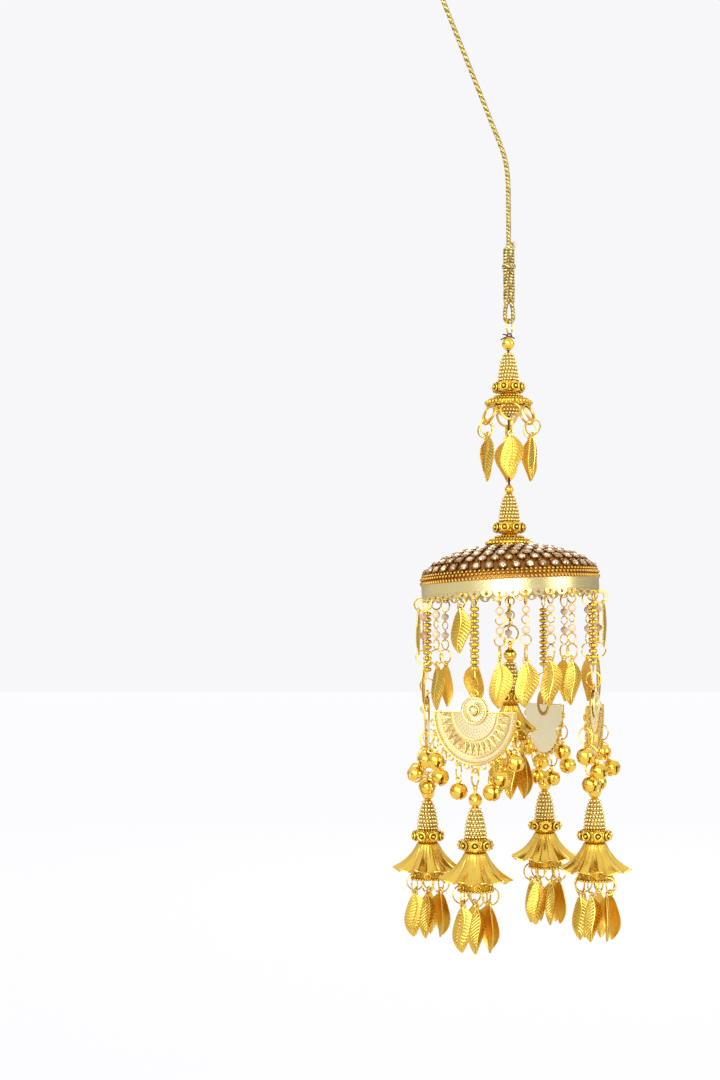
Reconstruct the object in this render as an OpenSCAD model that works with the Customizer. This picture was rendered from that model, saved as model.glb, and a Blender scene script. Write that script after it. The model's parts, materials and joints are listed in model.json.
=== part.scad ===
/* [Cord] */
// Diameter of the braided cord
cord_d = 2.1; // [1.6:0.1:2.4]
// Diameter of the whipped length of cord
whipping_d = 4.8; // [4.4:0.1:5.4]
// Length of the whipped length of cord
whipping_l = 23.4; // [16:0.2:25]

/* [Dome] */
// Outer radius of the dome at its rim
dome_r = 35.4; // [34:0.1:37]
// Height of the dome above its rim
dome_h = 14.2; // [12:0.1:15]
// Thickness of the dome's sheet
dome_wall = 1.1; // [0.8:0.1:1.4]
// How far the dome hangs down to the left, in degrees
dome_lean = 2.6; // [0:0.2:4]
// Number of pierced tabs round the rim
tab_n = 44; // [40:2:46]
// Number of stones in the lowest row on the dome
stone_n = 40; // [30:1:44]
// Diameter of a stone
stone_d = 3.1; // [2.6:0.1:3.6]

/* [Beads] */
// Radius of a plain ball bead
ball_r = 2.6; // [2.2:0.1:2.9]
// Radius of a beehive cone at its foot
cone_r = 4.3; // [3.6:0.1:4.8]
// Height of a beehive cone
cone_h = 11.7; // [9:0.1:11.8]
// Outer radius of a flower spacer
spacer_r = 7.3; // [6.6:0.1:7.8]
// Height of a flower spacer
spacer_h = 4.5; // [4:0.1:4.6]
// Outer radius of the two beaded caps
cap_r = 9.8; // [9:0.1:10.4]
// Radius of a pearl
pearl_r = 1.55; // [1.3:0.05:1.8]

/* [Fans] */
// Half of a fan's width
fan_w = 17.2; // [16:0.1:18]
// Depth of a fan below its straight edge
fan_h = 20; // [19:0.1:21]
// Thickness of a fan's plate
fan_t = 0.8; // [0.6:0.1:0.9]
// Radius of a fan's round boss
boss_r = 5.4; // [4.8:0.1:5.6]
// Radius of a bell
bell_r = 3.4; // [3:0.1:3.4]

/* [Drops] */
// Radius of an outer drop's frilled cup at its lip
cup_r = 13; // [11:0.1:13.4]
// Radius of the centre drop's cup at its lip
centre_cup_r = 9.8; // [9:0.1:11]
// Height of a frilled cup
cup_h = 10.8; // [9:0.1:11]
// Number of petals round a cup's lip
petal_n = 10; // [8:1:12]
// Number of leaves on a drop
leaf_n = 6; // [4:1:6]

/* [Leaves] */
// Length of a leaf from its eye to its tip
leaf_l = 17.8; // [15:0.1:19]
// Width of a leaf
leaf_w = 8.6; // [7:0.1:9]
// Thickness of a leaf
leaf_t = 0.6; // [0.4:0.1:0.7]

/* [Hidden] */
wire = 0.3;           // radius of the ring wire
gap = 0.1;            // play between strung pieces
thread_r = 0.5;       // radius of the thread
bore_r = 0.8;         // bore of what is strung on it
pin_r = 0.6;          // radius of a drop's pin
pin_bore_r = 0.85;    // bore of what sits on a pin
body_x = 30.8;        // the ornament hangs this far right of the cord's top end
rim_z = -251;         // level of the dome's rim
hole_z = -5.4;        // the tabs' holes, below the rim
tab_r = 2.45;         // radius of a scalloped tab
tab_hole_r = 0.75;    // radius of the hole in a tab
band_h = 4.3;         // height of the plain band over its tabs
band_t = 1;           // thickness of the band
hang_r = dome_r - band_t / 2;
tab_turn = -3.5;      // turn of the first tab
ring_r = 3.3;         // centre line radius of the larger jump rings

// The cord runs from the knot at its top end, bends once and hangs straight
slope = [0.36, 0, -0.933];
cord_route = [
    [3.9, 0, -10.2], [6, 0, -15.6], [9, 0, -23.4], [12, 0, -31.2], [15, 0, -39],
    [18, 0, -46.8], [21, 0, -54.6], [24, 0, -62.4], [26.4, 0, -68.6], [28.2, 0, -73.4],
    [29.6, 0, -77.6], [30.5, 0, -82], [31, 0, -87], [31.2, 0, -93], [31.2, 0, -99],
    [31.2, 0, -105], [31.2, 0, -110], [31.2, 0, -115.2]
];
loop_r = 3.2;         // centre line radius of the hang loop
knot_r = 2.3;
knot_at = 8.5;        // the knot's centre along the slope
knot_end = 10.92;     // where the cord starts along the slope
slope_turn = 158.9;   // turn about Y that points Z down the slope
top_x = 31.2;         // the cord's straight end hangs this far right of its top end
whipping_z = -115.2;
eye_r = 1.6;          // centre line radius of the loop under the whipping
eye_wire = 0.85;
eye_leg = 7.2;
eye_foot = whipping_z - whipping_l - eye_leg;
top_ring_r = 3.1;
top_ring_z = eye_foot + eye_wire + wire + 0.05;
thread_loop_z = top_ring_z - 2 * top_ring_r;

// Levels of the strung pieces
top_ball_z = -154.8;
upper_cone_z = -158.6;
upper_spacer_z = upper_cone_z - cone_h - gap;
upper_cap_z = upper_spacer_z - spacer_h - gap;
cap_h = 4.9;
hoop_r = 3.9;
hoop_wire = 0.5;
hoop_at = 9;
hoop_tilt = 24;
hoop_n = 6;
hoop_z = upper_cap_z - cap_h - hoop_r * cos(hoop_tilt) + 0.2;
upper_leaf_r = hoop_at + hoop_r * sin(hoop_tilt);
upper_leaf_z = hoop_z - hoop_r * cos(hoop_tilt) + hoop_wire + wire + 0.05;
middle_ball_r = 1.8;
lower_cap_z = rim_z + dome_h + cap_h + 0.25;
lower_spacer_z = lower_cap_z + spacer_h + gap;
lower_cone_h = cone_h - 0.6;
lower_cone_z = lower_spacer_z + lower_cone_h + gap;
middle_ball_z = lower_cone_z + middle_ball_r + gap;
thread_foot = rim_z + dome_h - 5.5;

// The fans hang from strands in four of the rim's tabs: tab number and the way that each fan faces
fan_tabs = [-14, -3, 8, 20];
fan_turns = [-118, -19, 20, 176];
strand_l = 37.8;      // from the tab's hole to the fan's eye
strand_beads = 11;
bead_pitch = 2.25;
eye_up = 7.1;         // the fan's eye, above its straight edge
fan_tabs_n = 15;      // small ring tabs along a fan's lower edge
hinge_tab = 8;        // the one that carries the drop
hinge_y = -fan_h - 1.3;
hinge_hole_r = 0.95;
ray_n = 16;
bell_link_r = 3;
bell_places = [2, 4, 6, 10, 12, 14];
bell_swing = 24;      // the middle bell of each side leans out on its neighbours

// Pearl strings and single leaves hang from these tabs
pearl_tabs = [-12, -10, -8, -6, 0, 3, 6, 11, 14, 17, 22, -18];
leaf_tabs = [-15, -1, -21];
pearl_string_l = 26.2;
leaf_ring_r = 2.6;
leaf_lean = 28;       // the single leaves lean out on the strings beside them

// The drops, measured down from the point that each one swings on
drop_ball_z = -11.9;
drop_cone_z = -14.6;
drop_spacer_z = drop_cone_z - cone_h - gap;
drop_cup_z = drop_spacer_z - spacer_h - gap;
gallery_r = 6.4;
gallery_t = 0.6;
gallery_top = drop_cup_z - cup_h + 1.2;
gallery_foot = drop_cup_z - cup_h - 4.2;
gallery_hole_z = gallery_foot + 1.7;
gallery_hole_r = 1;
leaf_turn = 42;       // each ring and leaf is turned this far on its hole
centre_z = -268.3;    // the centre drop swings here
chain_n = 9;
chain_top = thread_foot - 0.7;
chain_pitch = (chain_top - centre_z) / chain_n;
chain_r = chain_pitch / 2 + wire + 0.03;
cup_sides = petal_n * 4;

function dome_point(p) = [
    body_x + p.x * cos(dome_lean) - p.z * sin(dome_lean),
    p.y,
    rim_z + p.x * sin(dome_lean) + p.z * cos(dome_lean)
];
function tab_angle(k) = tab_turn + k * 360 / tab_n;
function tab_point(k) = dome_point([hang_r * cos(tab_angle(k)), hang_r * sin(tab_angle(k)), hole_z]);
function fan_point(i) = tab_point(fan_tabs[i]) - [0, 0, strand_l + eye_up];
function dome_height(r) = dome_h * sqrt(max(0, 1 - pow(r / dome_r, 2)));
function unit(v) = v / norm(v);

// Sweep a round tube along points that lie in the XZ plane
module tube(points, r, sides) {
    last = len(points) - 1;
    function along(i) = unit(points[min(i + 1, last)] - points[max(i - 1, 0)]);
    function across(i) = [along(i).z, 0, -along(i).x];
    rings = [
        for (i = [0:last], k = [0:sides - 1])
            points[i] + r * (cos(k * 360 / sides) * across(i) + sin(k * 360 / sides) * [0, 1, 0])
    ];
    walls = [
        for (i = [0:last - 1], k = [0:sides - 1])
            [
                i * sides + k,
                i * sides + (k + 1) % sides,
                (i + 1) * sides + (k + 1) % sides,
                (i + 1) * sides + k
            ]
    ];
    head = [for (k = [sides - 1:-1:0]) k];
    foot = [for (k = [0:sides - 1]) last * sides + k];
    polyhedron(rings, concat([head, foot], walls), convexity = 6);
}

// Torus whose axis is Z
module ring(r, w = wire) {
    rotate_extrude($fn = 36)
        translate([r, 0])
            circle(w, $fn = 16);
}

// Ring that hangs from the origin in the plane of Z and the direction a
module hung_ring(r, a, w = wire) {
    rotate([90, 0, a])
        translate([0, -r, 0])
            ring(r, w);
}

// Bead with its top at z, turned from half-profile points given as [radius, drop]
module turned(points, bore) {
    drop = points[len(points) - 1].y;
    rotate_extrude($fn = 48)
        polygon(concat([[bore, 0]], points, [[bore, drop]]));
}

module ball(r, bore) {
    difference() {
        sphere(r, $fn = 32);
        cylinder(h = 3 * r, r = bore, center = true, $fn = 24);
    }
}

// Beehive cone: eight rounded rows that widen downwards
module beehive(h, bore) {
    rows = 8;
    function row_r(t) = 1.7 + (cone_r - 2) * pow(sin(90 * t), 0.85);
    points = [
        for (i = [0:rows - 1], s = [0.08, 0.5, 0.92])
            [row_r((i + s) / rows) + (s == 0.5 ? 0.3 : 0), -h * (i + s) / rows]
    ];
    turned(concat([[row_r(0), 0]], points, [[row_r(1), -h]]), bore);
}

// Flower spacer: a thick disc with eight round lobes
module flower(bore) {
    lobes = 8;
    lobe_r = spacer_h / 2 - 0.05;
    difference() {
        union() {
            translate([0, 0, -spacer_h])
                cylinder(h = spacer_h, r = spacer_r - 1.9, $fn = 40);
            for (i = [0:lobes - 1])
                rotate([0, 0, (i + 0.5) * 360 / lobes])
                    translate([spacer_r - lobe_r, 0, -spacer_h / 2])
                        sphere(lobe_r, $fn = 20);
        }
        translate([0, 0, -spacer_h - 1])
            cylinder(h = spacer_h + 2, r = bore, $fn = 24);
    }
}

// Beaded cap: a smooth neck, stepped discs and a rim of granules
module beaded_cap(bore) {
    granule_n = 34;
    granule_r = 0.78;
    granule_at = cap_r - granule_r;
    lift = 0.95;      // the granules' centres, above the cap's foot
    profile = [
        [3, 0], [3.2, -0.9], [5.6, -1.3], [6, -2], [7.8, -2.5],
        [8.2, -3.2], [granule_at + 0.1, -3.4], [granule_at + 0.1, -cap_h]
    ];
    turned(profile, bore);
    for (i = [0:granule_n - 1])
        rotate([0, 0, i * 360 / granule_n])
            translate([granule_at, 0, lift - cap_h])
                sphere(granule_r, $fn = 14);
}

// Leaf that hangs from its eye at the origin, facing +Z, with the tip towards -Y
module leaf() {
    steps = 9;
    sway = 0.9;
    function side(t) = leaf_w / 2 * pow(sin(180 * pow(t, 0.85)), 0.8);
    function spine(t) = sway * sin(330 * t);
    function tooth(i) = i % 2 == 0 ? 0.18 : -0.12;
    body = leaf_l - 0.6;
    right = [for (i = [1:steps - 1]) [spine(i / steps) + side(i / steps) + tooth(i), -0.6 - body * i / steps]];
    left = [for (i = [steps - 1:-1:1]) [spine(i / steps) - side(i / steps) - tooth(i), -0.6 - body * i / steps]];
    rib = [for (i = [1:6]) [spine(i / 7) + 0.45 - i * 0.05, -0.6 - body * i / 7]];
    rib_back = [for (i = [6:-1:1]) [spine(i / 7) - 0.45 + i * 0.05, -0.6 - body * i / 7]];
    difference() {
        union() {
            translate([0, 0, -leaf_t / 2])
                linear_extrude(leaf_t)
                    polygon(concat([[0.7, -0.6]], right, [[0, -leaf_l]], left, [[-0.7, -0.6]]));
            translate([0, 0, -leaf_t / 2])
                cylinder(h = leaf_t, r = 1.4, $fn = 24);
            linear_extrude(leaf_t)
                polygon(concat(rib, rib_back));
        }
        cylinder(h = 3, r = 0.75, center = true, $fn = 20);
    }
}

// A jump ring at the origin and the leaf in it, with the leaf facing a
module ring_and_leaf(r, a) {
    hung_ring(r, a);
    translate([0, 0, -2 * r])
        rotate([90, 0, a + 90])
            leaf();
}

module hang_loop() {
    color("goldenrod") {
        translate(slope * (loop_r - cord_d / 2))
            rotate([90, 0, 0])
                ring(loop_r, cord_d / 2);
        translate(slope * knot_at)
            sphere(knot_r, $fn = 28);
        translate(slope * knot_at)
            rotate([0, slope_turn, 0])
                cylinder(h = knot_end - knot_at, r = cord_d / 2, $fn = 24);
    }
}

module cord() {
    color("goldenrod")
        tube(cord_route, cord_d / 2, 8);
}

module cord_whipping() {
    turns = 14;
    pitch = whipping_l / turns;
    band_turn = 7;
    function turn_r(i) = whipping_d / 2 + (i == band_turn ? 0.3 : 0);
    points = [
        for (i = [0:turns - 1], s = [0.05, 0.5, 0.95])
            [turn_r(i) - (s == 0.5 ? 0 : 0.45), -pitch * (i + s)]
    ];
    color("darkkhaki") {
        translate([top_x, 0, whipping_z])
            turned(concat([[cord_d / 2, 0]], points, [[cord_d / 2, -whipping_l]]), 0);
        translate([top_x, 0, eye_foot + eye_r])
            rotate([90, 0, 0]) {
                intersection() {
                    ring(eye_r, eye_wire);
                    translate([-5, -10, -5])
                        cube([10, 10, 10]);
                }
                for (side = [-1, 1])
                    translate([side * eye_r, 0, 0])
                        rotate([-90, 0, 0])
                            cylinder(h = eye_leg - eye_r + 1, r = eye_wire, $fn = 20);
            }
    }
}

module top_ring() {
    color("gold")
        translate([top_x, 0, top_ring_z])
            hung_ring(top_ring_r, 90);
}

// Thread from the ring down through the strung pieces, with an eye inside the dome
module string_thread() {
    knot_z = thread_loop_z - 0.8;
    color("maroon") {
        translate([top_x, 0, thread_loop_z])
            rotate([90, 0, 0])
                ring(0.85, 0.35);
        translate([top_x, 0.2, knot_z])
            sphere(0.6, $fn = 16);
        for (side = [-1, 1])
            translate([top_x, 0.2, knot_z])
                rotate([0, side * 62, 0])
                    cylinder(h = 2.8, r = 0.3, $fn = 12);
        translate([body_x, 0, thread_foot + 0.6])
            cylinder(h = knot_z - thread_foot - 0.6, r = thread_r, $fn = 16);
        translate([body_x, 0, thread_foot + 0.6])
            hung_ring(1, 0, 0.35);
    }
}

module top_ball() {
    color("gold")
        translate([body_x, 0, top_ball_z])
            ball(ball_r, bore_r);
}

module upper_cone() {
    color("darkgoldenrod")
        translate([body_x, 0, upper_cone_z])
            beehive(cone_h, bore_r);
}

module upper_spacer() {
    color("goldenrod")
        translate([body_x, 0, upper_spacer_z])
            flower(bore_r);
}

module upper_cap() {
    color("goldenrod") {
        translate([body_x, 0, upper_cap_z])
            beaded_cap(bore_r);
        for (i = [0:hoop_n - 1])
            translate([body_x, 0, hoop_z])
                rotate([0, 0, (i + 0.5) * 360 / hoop_n])
                    translate([hoop_at, 0, 0])
                        rotate([0, 90 - hoop_tilt, 0])
                            ring(hoop_r, hoop_wire);
    }
}

module upper_charms() {
    color("gold")
        for (i = [0:hoop_n - 1])
            translate([body_x, 0, upper_leaf_z])
                rotate([0, 0, (i + 0.5) * 360 / hoop_n])
                    translate([upper_leaf_r, 0, 0])
                        ring_and_leaf(ring_r - 0.1, 0);
}

module middle_ball() {
    color("gold")
        translate([body_x, 0, middle_ball_z])
            ball(middle_ball_r, bore_r);
}

module lower_cone() {
    color("darkgoldenrod")
        translate([body_x, 0, lower_cone_z])
            beehive(lower_cone_h, bore_r);
}

module lower_spacer() {
    color("goldenrod")
        translate([body_x, 0, lower_spacer_z])
            flower(bore_r);
}

module dome_cap() {
    color("darkgoldenrod")
        translate([body_x, 0, lower_cap_z])
            beaded_cap(bore_r);
}

module on_dome() {
    translate([body_x, 0, rim_z])
        rotate([0, -dome_lean, 0])
            children();
}

module dome_shell() {
    steps = 14;
    hole_r = 2;
    apex = asin(hole_r / dome_r);
    inner_r = dome_r - dome_wall;
    inner_h = dome_h - dome_wall;
    function turn(i) = 90 - (90 - apex) * i / steps;
    outer = [for (i = [0:steps]) [dome_r * sin(turn(i)), dome_h * cos(turn(i))]];
    inner = [for (i = [steps:-1:0]) [max(hole_r, inner_r * sin(turn(i))), inner_h * cos(turn(i))]];
    color("sienna")
        on_dome()
            rotate_extrude($fn = 96)
                polygon(concat(outer, inner));
}

// Cut stones with an eight-sided table and crown, each over its own foot
module dome_stones() {
    row_r = dome_r - 2.3;
    lift = dome_height(row_r);
    tip = atan2(dome_h * dome_h * row_r, dome_r * dome_r * lift);
    stand = 0.25;
    color("wheat")
        on_dome()
            for (i = [0:stone_n - 1])
                rotate([0, 0, i * 360 / stone_n])
                    translate([row_r, 0, lift])
                        rotate([0, tip, 0])
                            translate([0, 0, stand])
                                cylinder(h = 1.1, r1 = stone_d / 2, r2 = stone_d / 3.4, $fn = 8);
}

// Plain band with a scalloped edge: round tabs stand out below it, each drilled for a ring
module rim_band() {
    tab_t = band_t - 0.3;
    tab_in = dome_r - band_t + 0.1;
    color("palegoldenrod")
        on_dome() {
            translate([0, 0, -band_h])
                difference() {
                    cylinder(h = band_h - 0.1, r = dome_r, $fn = 120);
                    translate([0, 0, -1])
                        cylinder(h = band_h + 2, r = dome_r - band_t, $fn = 120);
                }
            for (k = [0:tab_n - 1])
                rotate([0, 90, tab_angle(k)])
                    translate([band_h, 0, tab_in])
                        difference() {
                            cylinder(h = tab_t, r = tab_r, $fn = 24);
                            translate([-hole_z - band_h, 0, -1])
                                cylinder(h = tab_t + 2, r = tab_hole_r, $fn = 20);
                        }
        }
}

// Each string is one piece: its top ring, two pearls, two links and the ring for the leaf
module pearl_strings() {
    color("bisque")
        for (k = pearl_tabs)
            translate(tab_point(k)) {
                hung_ring(2.4, tab_angle(k));
                translate([0, 0, -pearl_string_l + 5.9])
                    cylinder(h = pearl_string_l - 5.9 - 4.7, r = wire, $fn = 12);
                for (z = [-6.9, -14.5])
                    translate([0, 0, z])
                        sphere(pearl_r, $fn = 24);
                for (z = [-9, -16.5])
                    translate([0, 0, z])
                        hung_ring(1.5, tab_angle(k) + 90);
                translate([0, 0, -pearl_string_l + 5.8])
                    hung_ring(2.9, tab_angle(k));
            }
}

module rim_leaves() {
    color("gold") {
        for (k = pearl_tabs)
            translate(tab_point(k) - [0, 0, pearl_string_l])
                rotate([90, 0, tab_angle(k) + 90])
                    leaf();
        for (k = leaf_tabs)
            translate(tab_point(k))
                rotate([0, 0, tab_angle(k)]) {
                    rotate([0, -leaf_lean, 0])
                        hung_ring(leaf_ring_r, 0);
                    translate(2 * leaf_ring_r * [sin(leaf_lean), 0, -cos(leaf_lean)])
                        rotate([90, 0, 90])
                            leaf();
                }
    }
}

module fan_strands() {
    bead_top = 4.6;
    color("goldenrod")
        for (i = [0:3])
            translate(tab_point(fan_tabs[i])) {
                hung_ring(2, tab_angle(fan_tabs[i]));
                translate([0, 0, -bead_top])
                    turned([
                        for (n = [0:strand_beads - 1], s = [[0, 0.9], [0.3, 1.55], [0.7, 1.55], [1, 0.9]])
                            [s[1], -bead_pitch * (n + s[0] * 0.98)]
                    ], 0);
                translate([0, 0, -strand_l + 5.9])
                    cylinder(h = strand_l - 5.9 - 3.9, r = 0.4, $fn = 12);
                translate([0, 0, -strand_l + 6])
                    hung_ring(3, fan_turns[i]);
            }
}

function oval(a, k) = [fan_w * k * cos(a), fan_h * k * sin(a)];

// Half-oval strip between two sizes of the fan's outline
module fan_strip(outer, inner, h) {
    steps = 24;
    linear_extrude(h)
        polygon(concat(
            [for (i = [0:steps]) oval(180 + i * 180 / steps, outer)],
            [for (i = [steps:-1:0]) oval(180 + i * 180 / steps, inner)]
        ));
}

function edge_tab(n) = n == hinge_tab ? [0, hinge_y] : oval(180 + n * 180 / (fan_tabs_n + 1), 1) * (1 + 0.85 / fan_h);

// Fan seen from its front: X runs along its straight edge, and Y is up
module fan_plate() {
    steps = 32;
    raise = fan_t / 2 + 0.5;
    difference() {
        union() {
            translate([0, 0, -fan_t / 2])
                linear_extrude(fan_t)
                    polygon([for (i = [0:steps]) oval(180 + i * 180 / steps, 1)]);
            fan_strip(0.99, 0.92, raise);
            fan_strip(0.87, 0.83, raise);
            fan_strip(0.56, 0.52, raise);
            for (i = [0:ray_n - 1])
                linear_extrude(raise)
                    polygon([
                        oval(180 + (i + 0.12) * 180 / ray_n, 0.58),
                        oval(180 + (i + 0.88) * 180 / ray_n, 0.58),
                        oval(180 + (i + 0.5) * 180 / ray_n, 0.81)
                    ]);
            translate([0, 0.6, -fan_t / 2])
                cylinder(h = fan_t + 1, r = boss_r, $fn = 40);
            translate([0, 0.6, fan_t / 2 + 0.9])
                ring(boss_r - 0.7, 0.6);
            translate([0, 0.6, fan_t / 2 + 1])
                sphere(1.9, $fn = 20);
            translate([0, eye_up, -fan_t / 2])
                cylinder(h = fan_t, r = 1.7, $fn = 24);
            for (n = [1:fan_tabs_n])
                translate([edge_tab(n).x, edge_tab(n).y, -fan_t / 2])
                    cylinder(h = fan_t, r = n == hinge_tab ? 2 : 1.25, $fn = 24);
        }
        for (n = [1:fan_tabs_n])
            translate([edge_tab(n).x, edge_tab(n).y, -2])
                cylinder(h = 4, r = n == hinge_tab ? hinge_hole_r : 0.7, $fn = 24);
        translate([0, eye_up, -2])
            cylinder(h = 4, r = 0.85, $fn = 24);
    }
}

module fan(i) {
    color("goldenrod")
        translate(fan_point(i))
            rotate([90, 0, fan_turns[i] + 90])
                fan_plate();
}

// Hollow bell with two crossed slits and an eye, hung from the origin by its link
module bell() {
    eye = 1.1;
    eye_z = -2 * bell_link_r + 2 * wire + 0.08 - eye;
    centre_z = eye_z - eye - bell_r + 0.15;
    slit = 1.3;
    hung_ring(bell_link_r, 0, 0.28);
    translate([0, 0, eye_z])
        rotate([0, 90, 0])
            ring(eye, 0.28);
    translate([0, 0, centre_z])
        difference() {
            sphere(bell_r, $fn = 32);
            sphere(bell_r - 0.6, $fn = 32);
            for (a = [45, 135])
                rotate([0, 0, a])
                    translate([-bell_r - 1, -slit / 2, -bell_r - 1])
                        cube([2 * bell_r + 2, slit, bell_r + 1.2]);
        }
}

module fan_bells() {
    color("gold")
        for (i = [0:3], n = bell_places)
            translate(fan_point(i))
                rotate([0, 0, fan_turns[i]])
                    translate([0, edge_tab(n).x, edge_tab(n).y])
                        rotate([0, n % 8 == 4 ? -bell_swing : 0, 0])
                            bell();
}

// Links that hang in each other from the thread's eye to the centre drop
module centre_chain() {
    color("gold")
        for (i = [0:chain_n - 1])
            translate([body_x, 0, chain_top - i * chain_pitch])
                hung_ring(chain_r, i % 2 == 0 ? 90 : 0);
}

// A drop is drawn at its own pivot, and facing +X
module at_drop(i) {
    if (i < 4)
        translate(fan_point(i) + [0, 0, hinge_y])
            rotate([0, 0, fan_turns[i]])
                children();
    else
        translate([body_x, 0, centre_z])
            children();
}

// The pin, its ring at the top and the pierced gallery that carries the leaves
module drop_pin(i) {
    color("gold")
        at_drop(i)
            difference() {
                union() {
                    hung_ring(ring_r, 0);
                    translate([0, 0, gallery_top - 1])
                        cylinder(h = -2 * ring_r - gallery_top + 1, r = pin_r, $fn = 20);
                    translate([0, 0, gallery_top - 0.8])
                        cylinder(h = 0.8, r = gallery_r, $fn = 48);
                    translate([0, 0, gallery_foot])
                        difference() {
                            cylinder(h = gallery_top - gallery_foot, r = gallery_r, $fn = 48);
                            translate([0, 0, -1])
                                cylinder(h = gallery_top - gallery_foot + 0.4, r = gallery_r - gallery_t, $fn = 48);
                        }
                }
                for (n = [0:leaf_n - 1])
                    rotate([0, 90, (n + 0.5) * 360 / leaf_n])
                        translate([-gallery_hole_z, 0, gallery_r - 2])
                            cylinder(h = 4, r = gallery_hole_r, $fn = 24);
            }
}

module drop_ball(i) {
    color("gold")
        at_drop(i)
            translate([0, 0, drop_ball_z])
                ball(ball_r, pin_bore_r);
}

module drop_cone(i) {
    color("darkgoldenrod")
        at_drop(i)
            translate([0, 0, drop_cone_z])
                beehive(cone_h, pin_bore_r);
}

module drop_spacer(i) {
    color("goldenrod")
        at_drop(i)
            translate([0, 0, drop_spacer_z])
                flower(pin_bore_r);
}

// Flared cup whose wall is fluted into petals towards the lip
module frilled_cup(lip_r) {
    levels = [
        [0, 0.27, 0], [0.12, 0.36, 0.01], [0.35, 0.46, 0.02], [0.6, 0.6, 0.04],
        [0.8, 0.77, 0.06], [0.95, 0.95, 0.08], [1, 1, 0.08]
    ];
    wall = 0.7;
    neck_r = pin_bore_r;
    n = cup_sides;
    last = len(levels) - 1;
    function wave(k) = cos(k * 360 * petal_n / n);
    function rim_r(s, k) = lip_r * s[1] * (1 + s[2] * wave(k));
    function place(r, k, z) = [r * cos(k * 360 / n), r * sin(k * 360 / n), z];
    outer = [for (s = levels, k = [0:n - 1]) place(rim_r(s, k), k, -cup_h * s[0])];
    inner = [
        for (i = [last:-1:0], k = [0:n - 1])
            place(
                i == 0 ? neck_r : rim_r(levels[i], k) - wall,
                k,
                i == 0 ? -wall - 0.3 : -cup_h * levels[i][0] - (i == last ? 0 : 0.2)
            )
    ];
    throat = [for (k = [0:n - 1]) place(neck_r, k, 0)];
    rings = 2 * last + 3;
    faces = [
        for (j = [0:rings - 1], k = [0:n - 1])
            let (a = j * n, b = ((j + 1) % rings) * n, m = (k + 1) % n)
                [a + k, a + m, b + m, b + k]
    ];
    polyhedron(concat(outer, inner, throat), faces, convexity = 8);
}

module drop_cup(i) {
    color("goldenrod")
        at_drop(i)
            translate([0, 0, drop_cup_z])
                frilled_cup(i < 4 ? cup_r : centre_cup_r);
}

module drop_charms(i) {
    color("gold")
        at_drop(i)
            for (n = [0:leaf_n - 1])
                rotate([0, 0, (n + 0.5) * 360 / leaf_n])
                    translate([gallery_r - gallery_t / 2, 0, gallery_hole_z])
                        ring_and_leaf(ring_r, leaf_turn);
}

hang_loop();
cord();
cord_whipping();
top_ring();
string_thread();
top_ball();
upper_cone();
upper_spacer();
upper_cap();
upper_charms();
middle_ball();
lower_cone();
lower_spacer();
dome_cap();
dome_shell();
dome_stones();
rim_band();
pearl_strings();
rim_leaves();
fan_strands();
fan(0);  // fan_front
fan(1);  // fan_right
fan(2);  // fan_back
fan(3);  // fan_left
fan_bells();
centre_chain();
drop_pin(0);  // front_drop_pin
drop_ball(0);  // front_drop_ball
drop_cone(0);  // front_drop_cone
drop_spacer(0);  // front_drop_spacer
drop_cup(0);  // front_drop_cup
drop_charms(0);  // front_drop_charms
drop_pin(1);  // right_drop_pin
drop_ball(1);  // right_drop_ball
drop_cone(1);  // right_drop_cone
drop_spacer(1);  // right_drop_spacer
drop_cup(1);  // right_drop_cup
drop_charms(1);  // right_drop_charms
drop_pin(2);  // back_drop_pin
drop_ball(2);  // back_drop_ball
drop_cone(2);  // back_drop_cone
drop_spacer(2);  // back_drop_spacer
drop_cup(2);  // back_drop_cup
drop_charms(2);  // back_drop_charms
drop_pin(3);  // left_drop_pin
drop_ball(3);  // left_drop_ball
drop_cone(3);  // left_drop_cone
drop_spacer(3);  // left_drop_spacer
drop_cup(3);  // left_drop_cup
drop_charms(3);  // left_drop_charms
drop_pin(4);  // centre_drop_pin
drop_ball(4);  // centre_drop_ball
drop_cone(4);  // centre_drop_cone
drop_spacer(4);  // centre_drop_spacer
drop_cup(4);  // centre_drop_cup
drop_charms(4);  // centre_drop_charms
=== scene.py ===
import json
import math

import bmesh
import bpy
import numpy as np
from mathutils import Matrix, Vector


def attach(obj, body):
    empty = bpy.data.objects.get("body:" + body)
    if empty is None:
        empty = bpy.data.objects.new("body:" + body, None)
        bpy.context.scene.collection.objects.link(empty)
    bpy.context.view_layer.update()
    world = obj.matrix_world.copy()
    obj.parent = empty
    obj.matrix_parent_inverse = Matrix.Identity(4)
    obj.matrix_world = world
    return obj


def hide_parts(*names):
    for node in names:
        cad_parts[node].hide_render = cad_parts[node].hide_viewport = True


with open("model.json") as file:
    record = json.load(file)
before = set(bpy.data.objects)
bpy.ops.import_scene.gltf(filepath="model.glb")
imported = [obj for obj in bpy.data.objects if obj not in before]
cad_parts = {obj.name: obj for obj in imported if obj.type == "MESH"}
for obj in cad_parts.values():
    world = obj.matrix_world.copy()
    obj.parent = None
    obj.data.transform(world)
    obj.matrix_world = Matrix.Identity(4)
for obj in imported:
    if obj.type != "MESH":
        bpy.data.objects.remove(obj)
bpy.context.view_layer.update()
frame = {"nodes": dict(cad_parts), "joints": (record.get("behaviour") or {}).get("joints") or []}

dice = np.random.default_rng(11)  # one seed for every small irregularity
print("frame loaded:", len(frame["nodes"]), "nodes")

# camera
camera = {"place": (-0.0291, -0.7, -0.2814), "pitch": 3.8575, "focal": 1750, "height": 1080}

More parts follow.
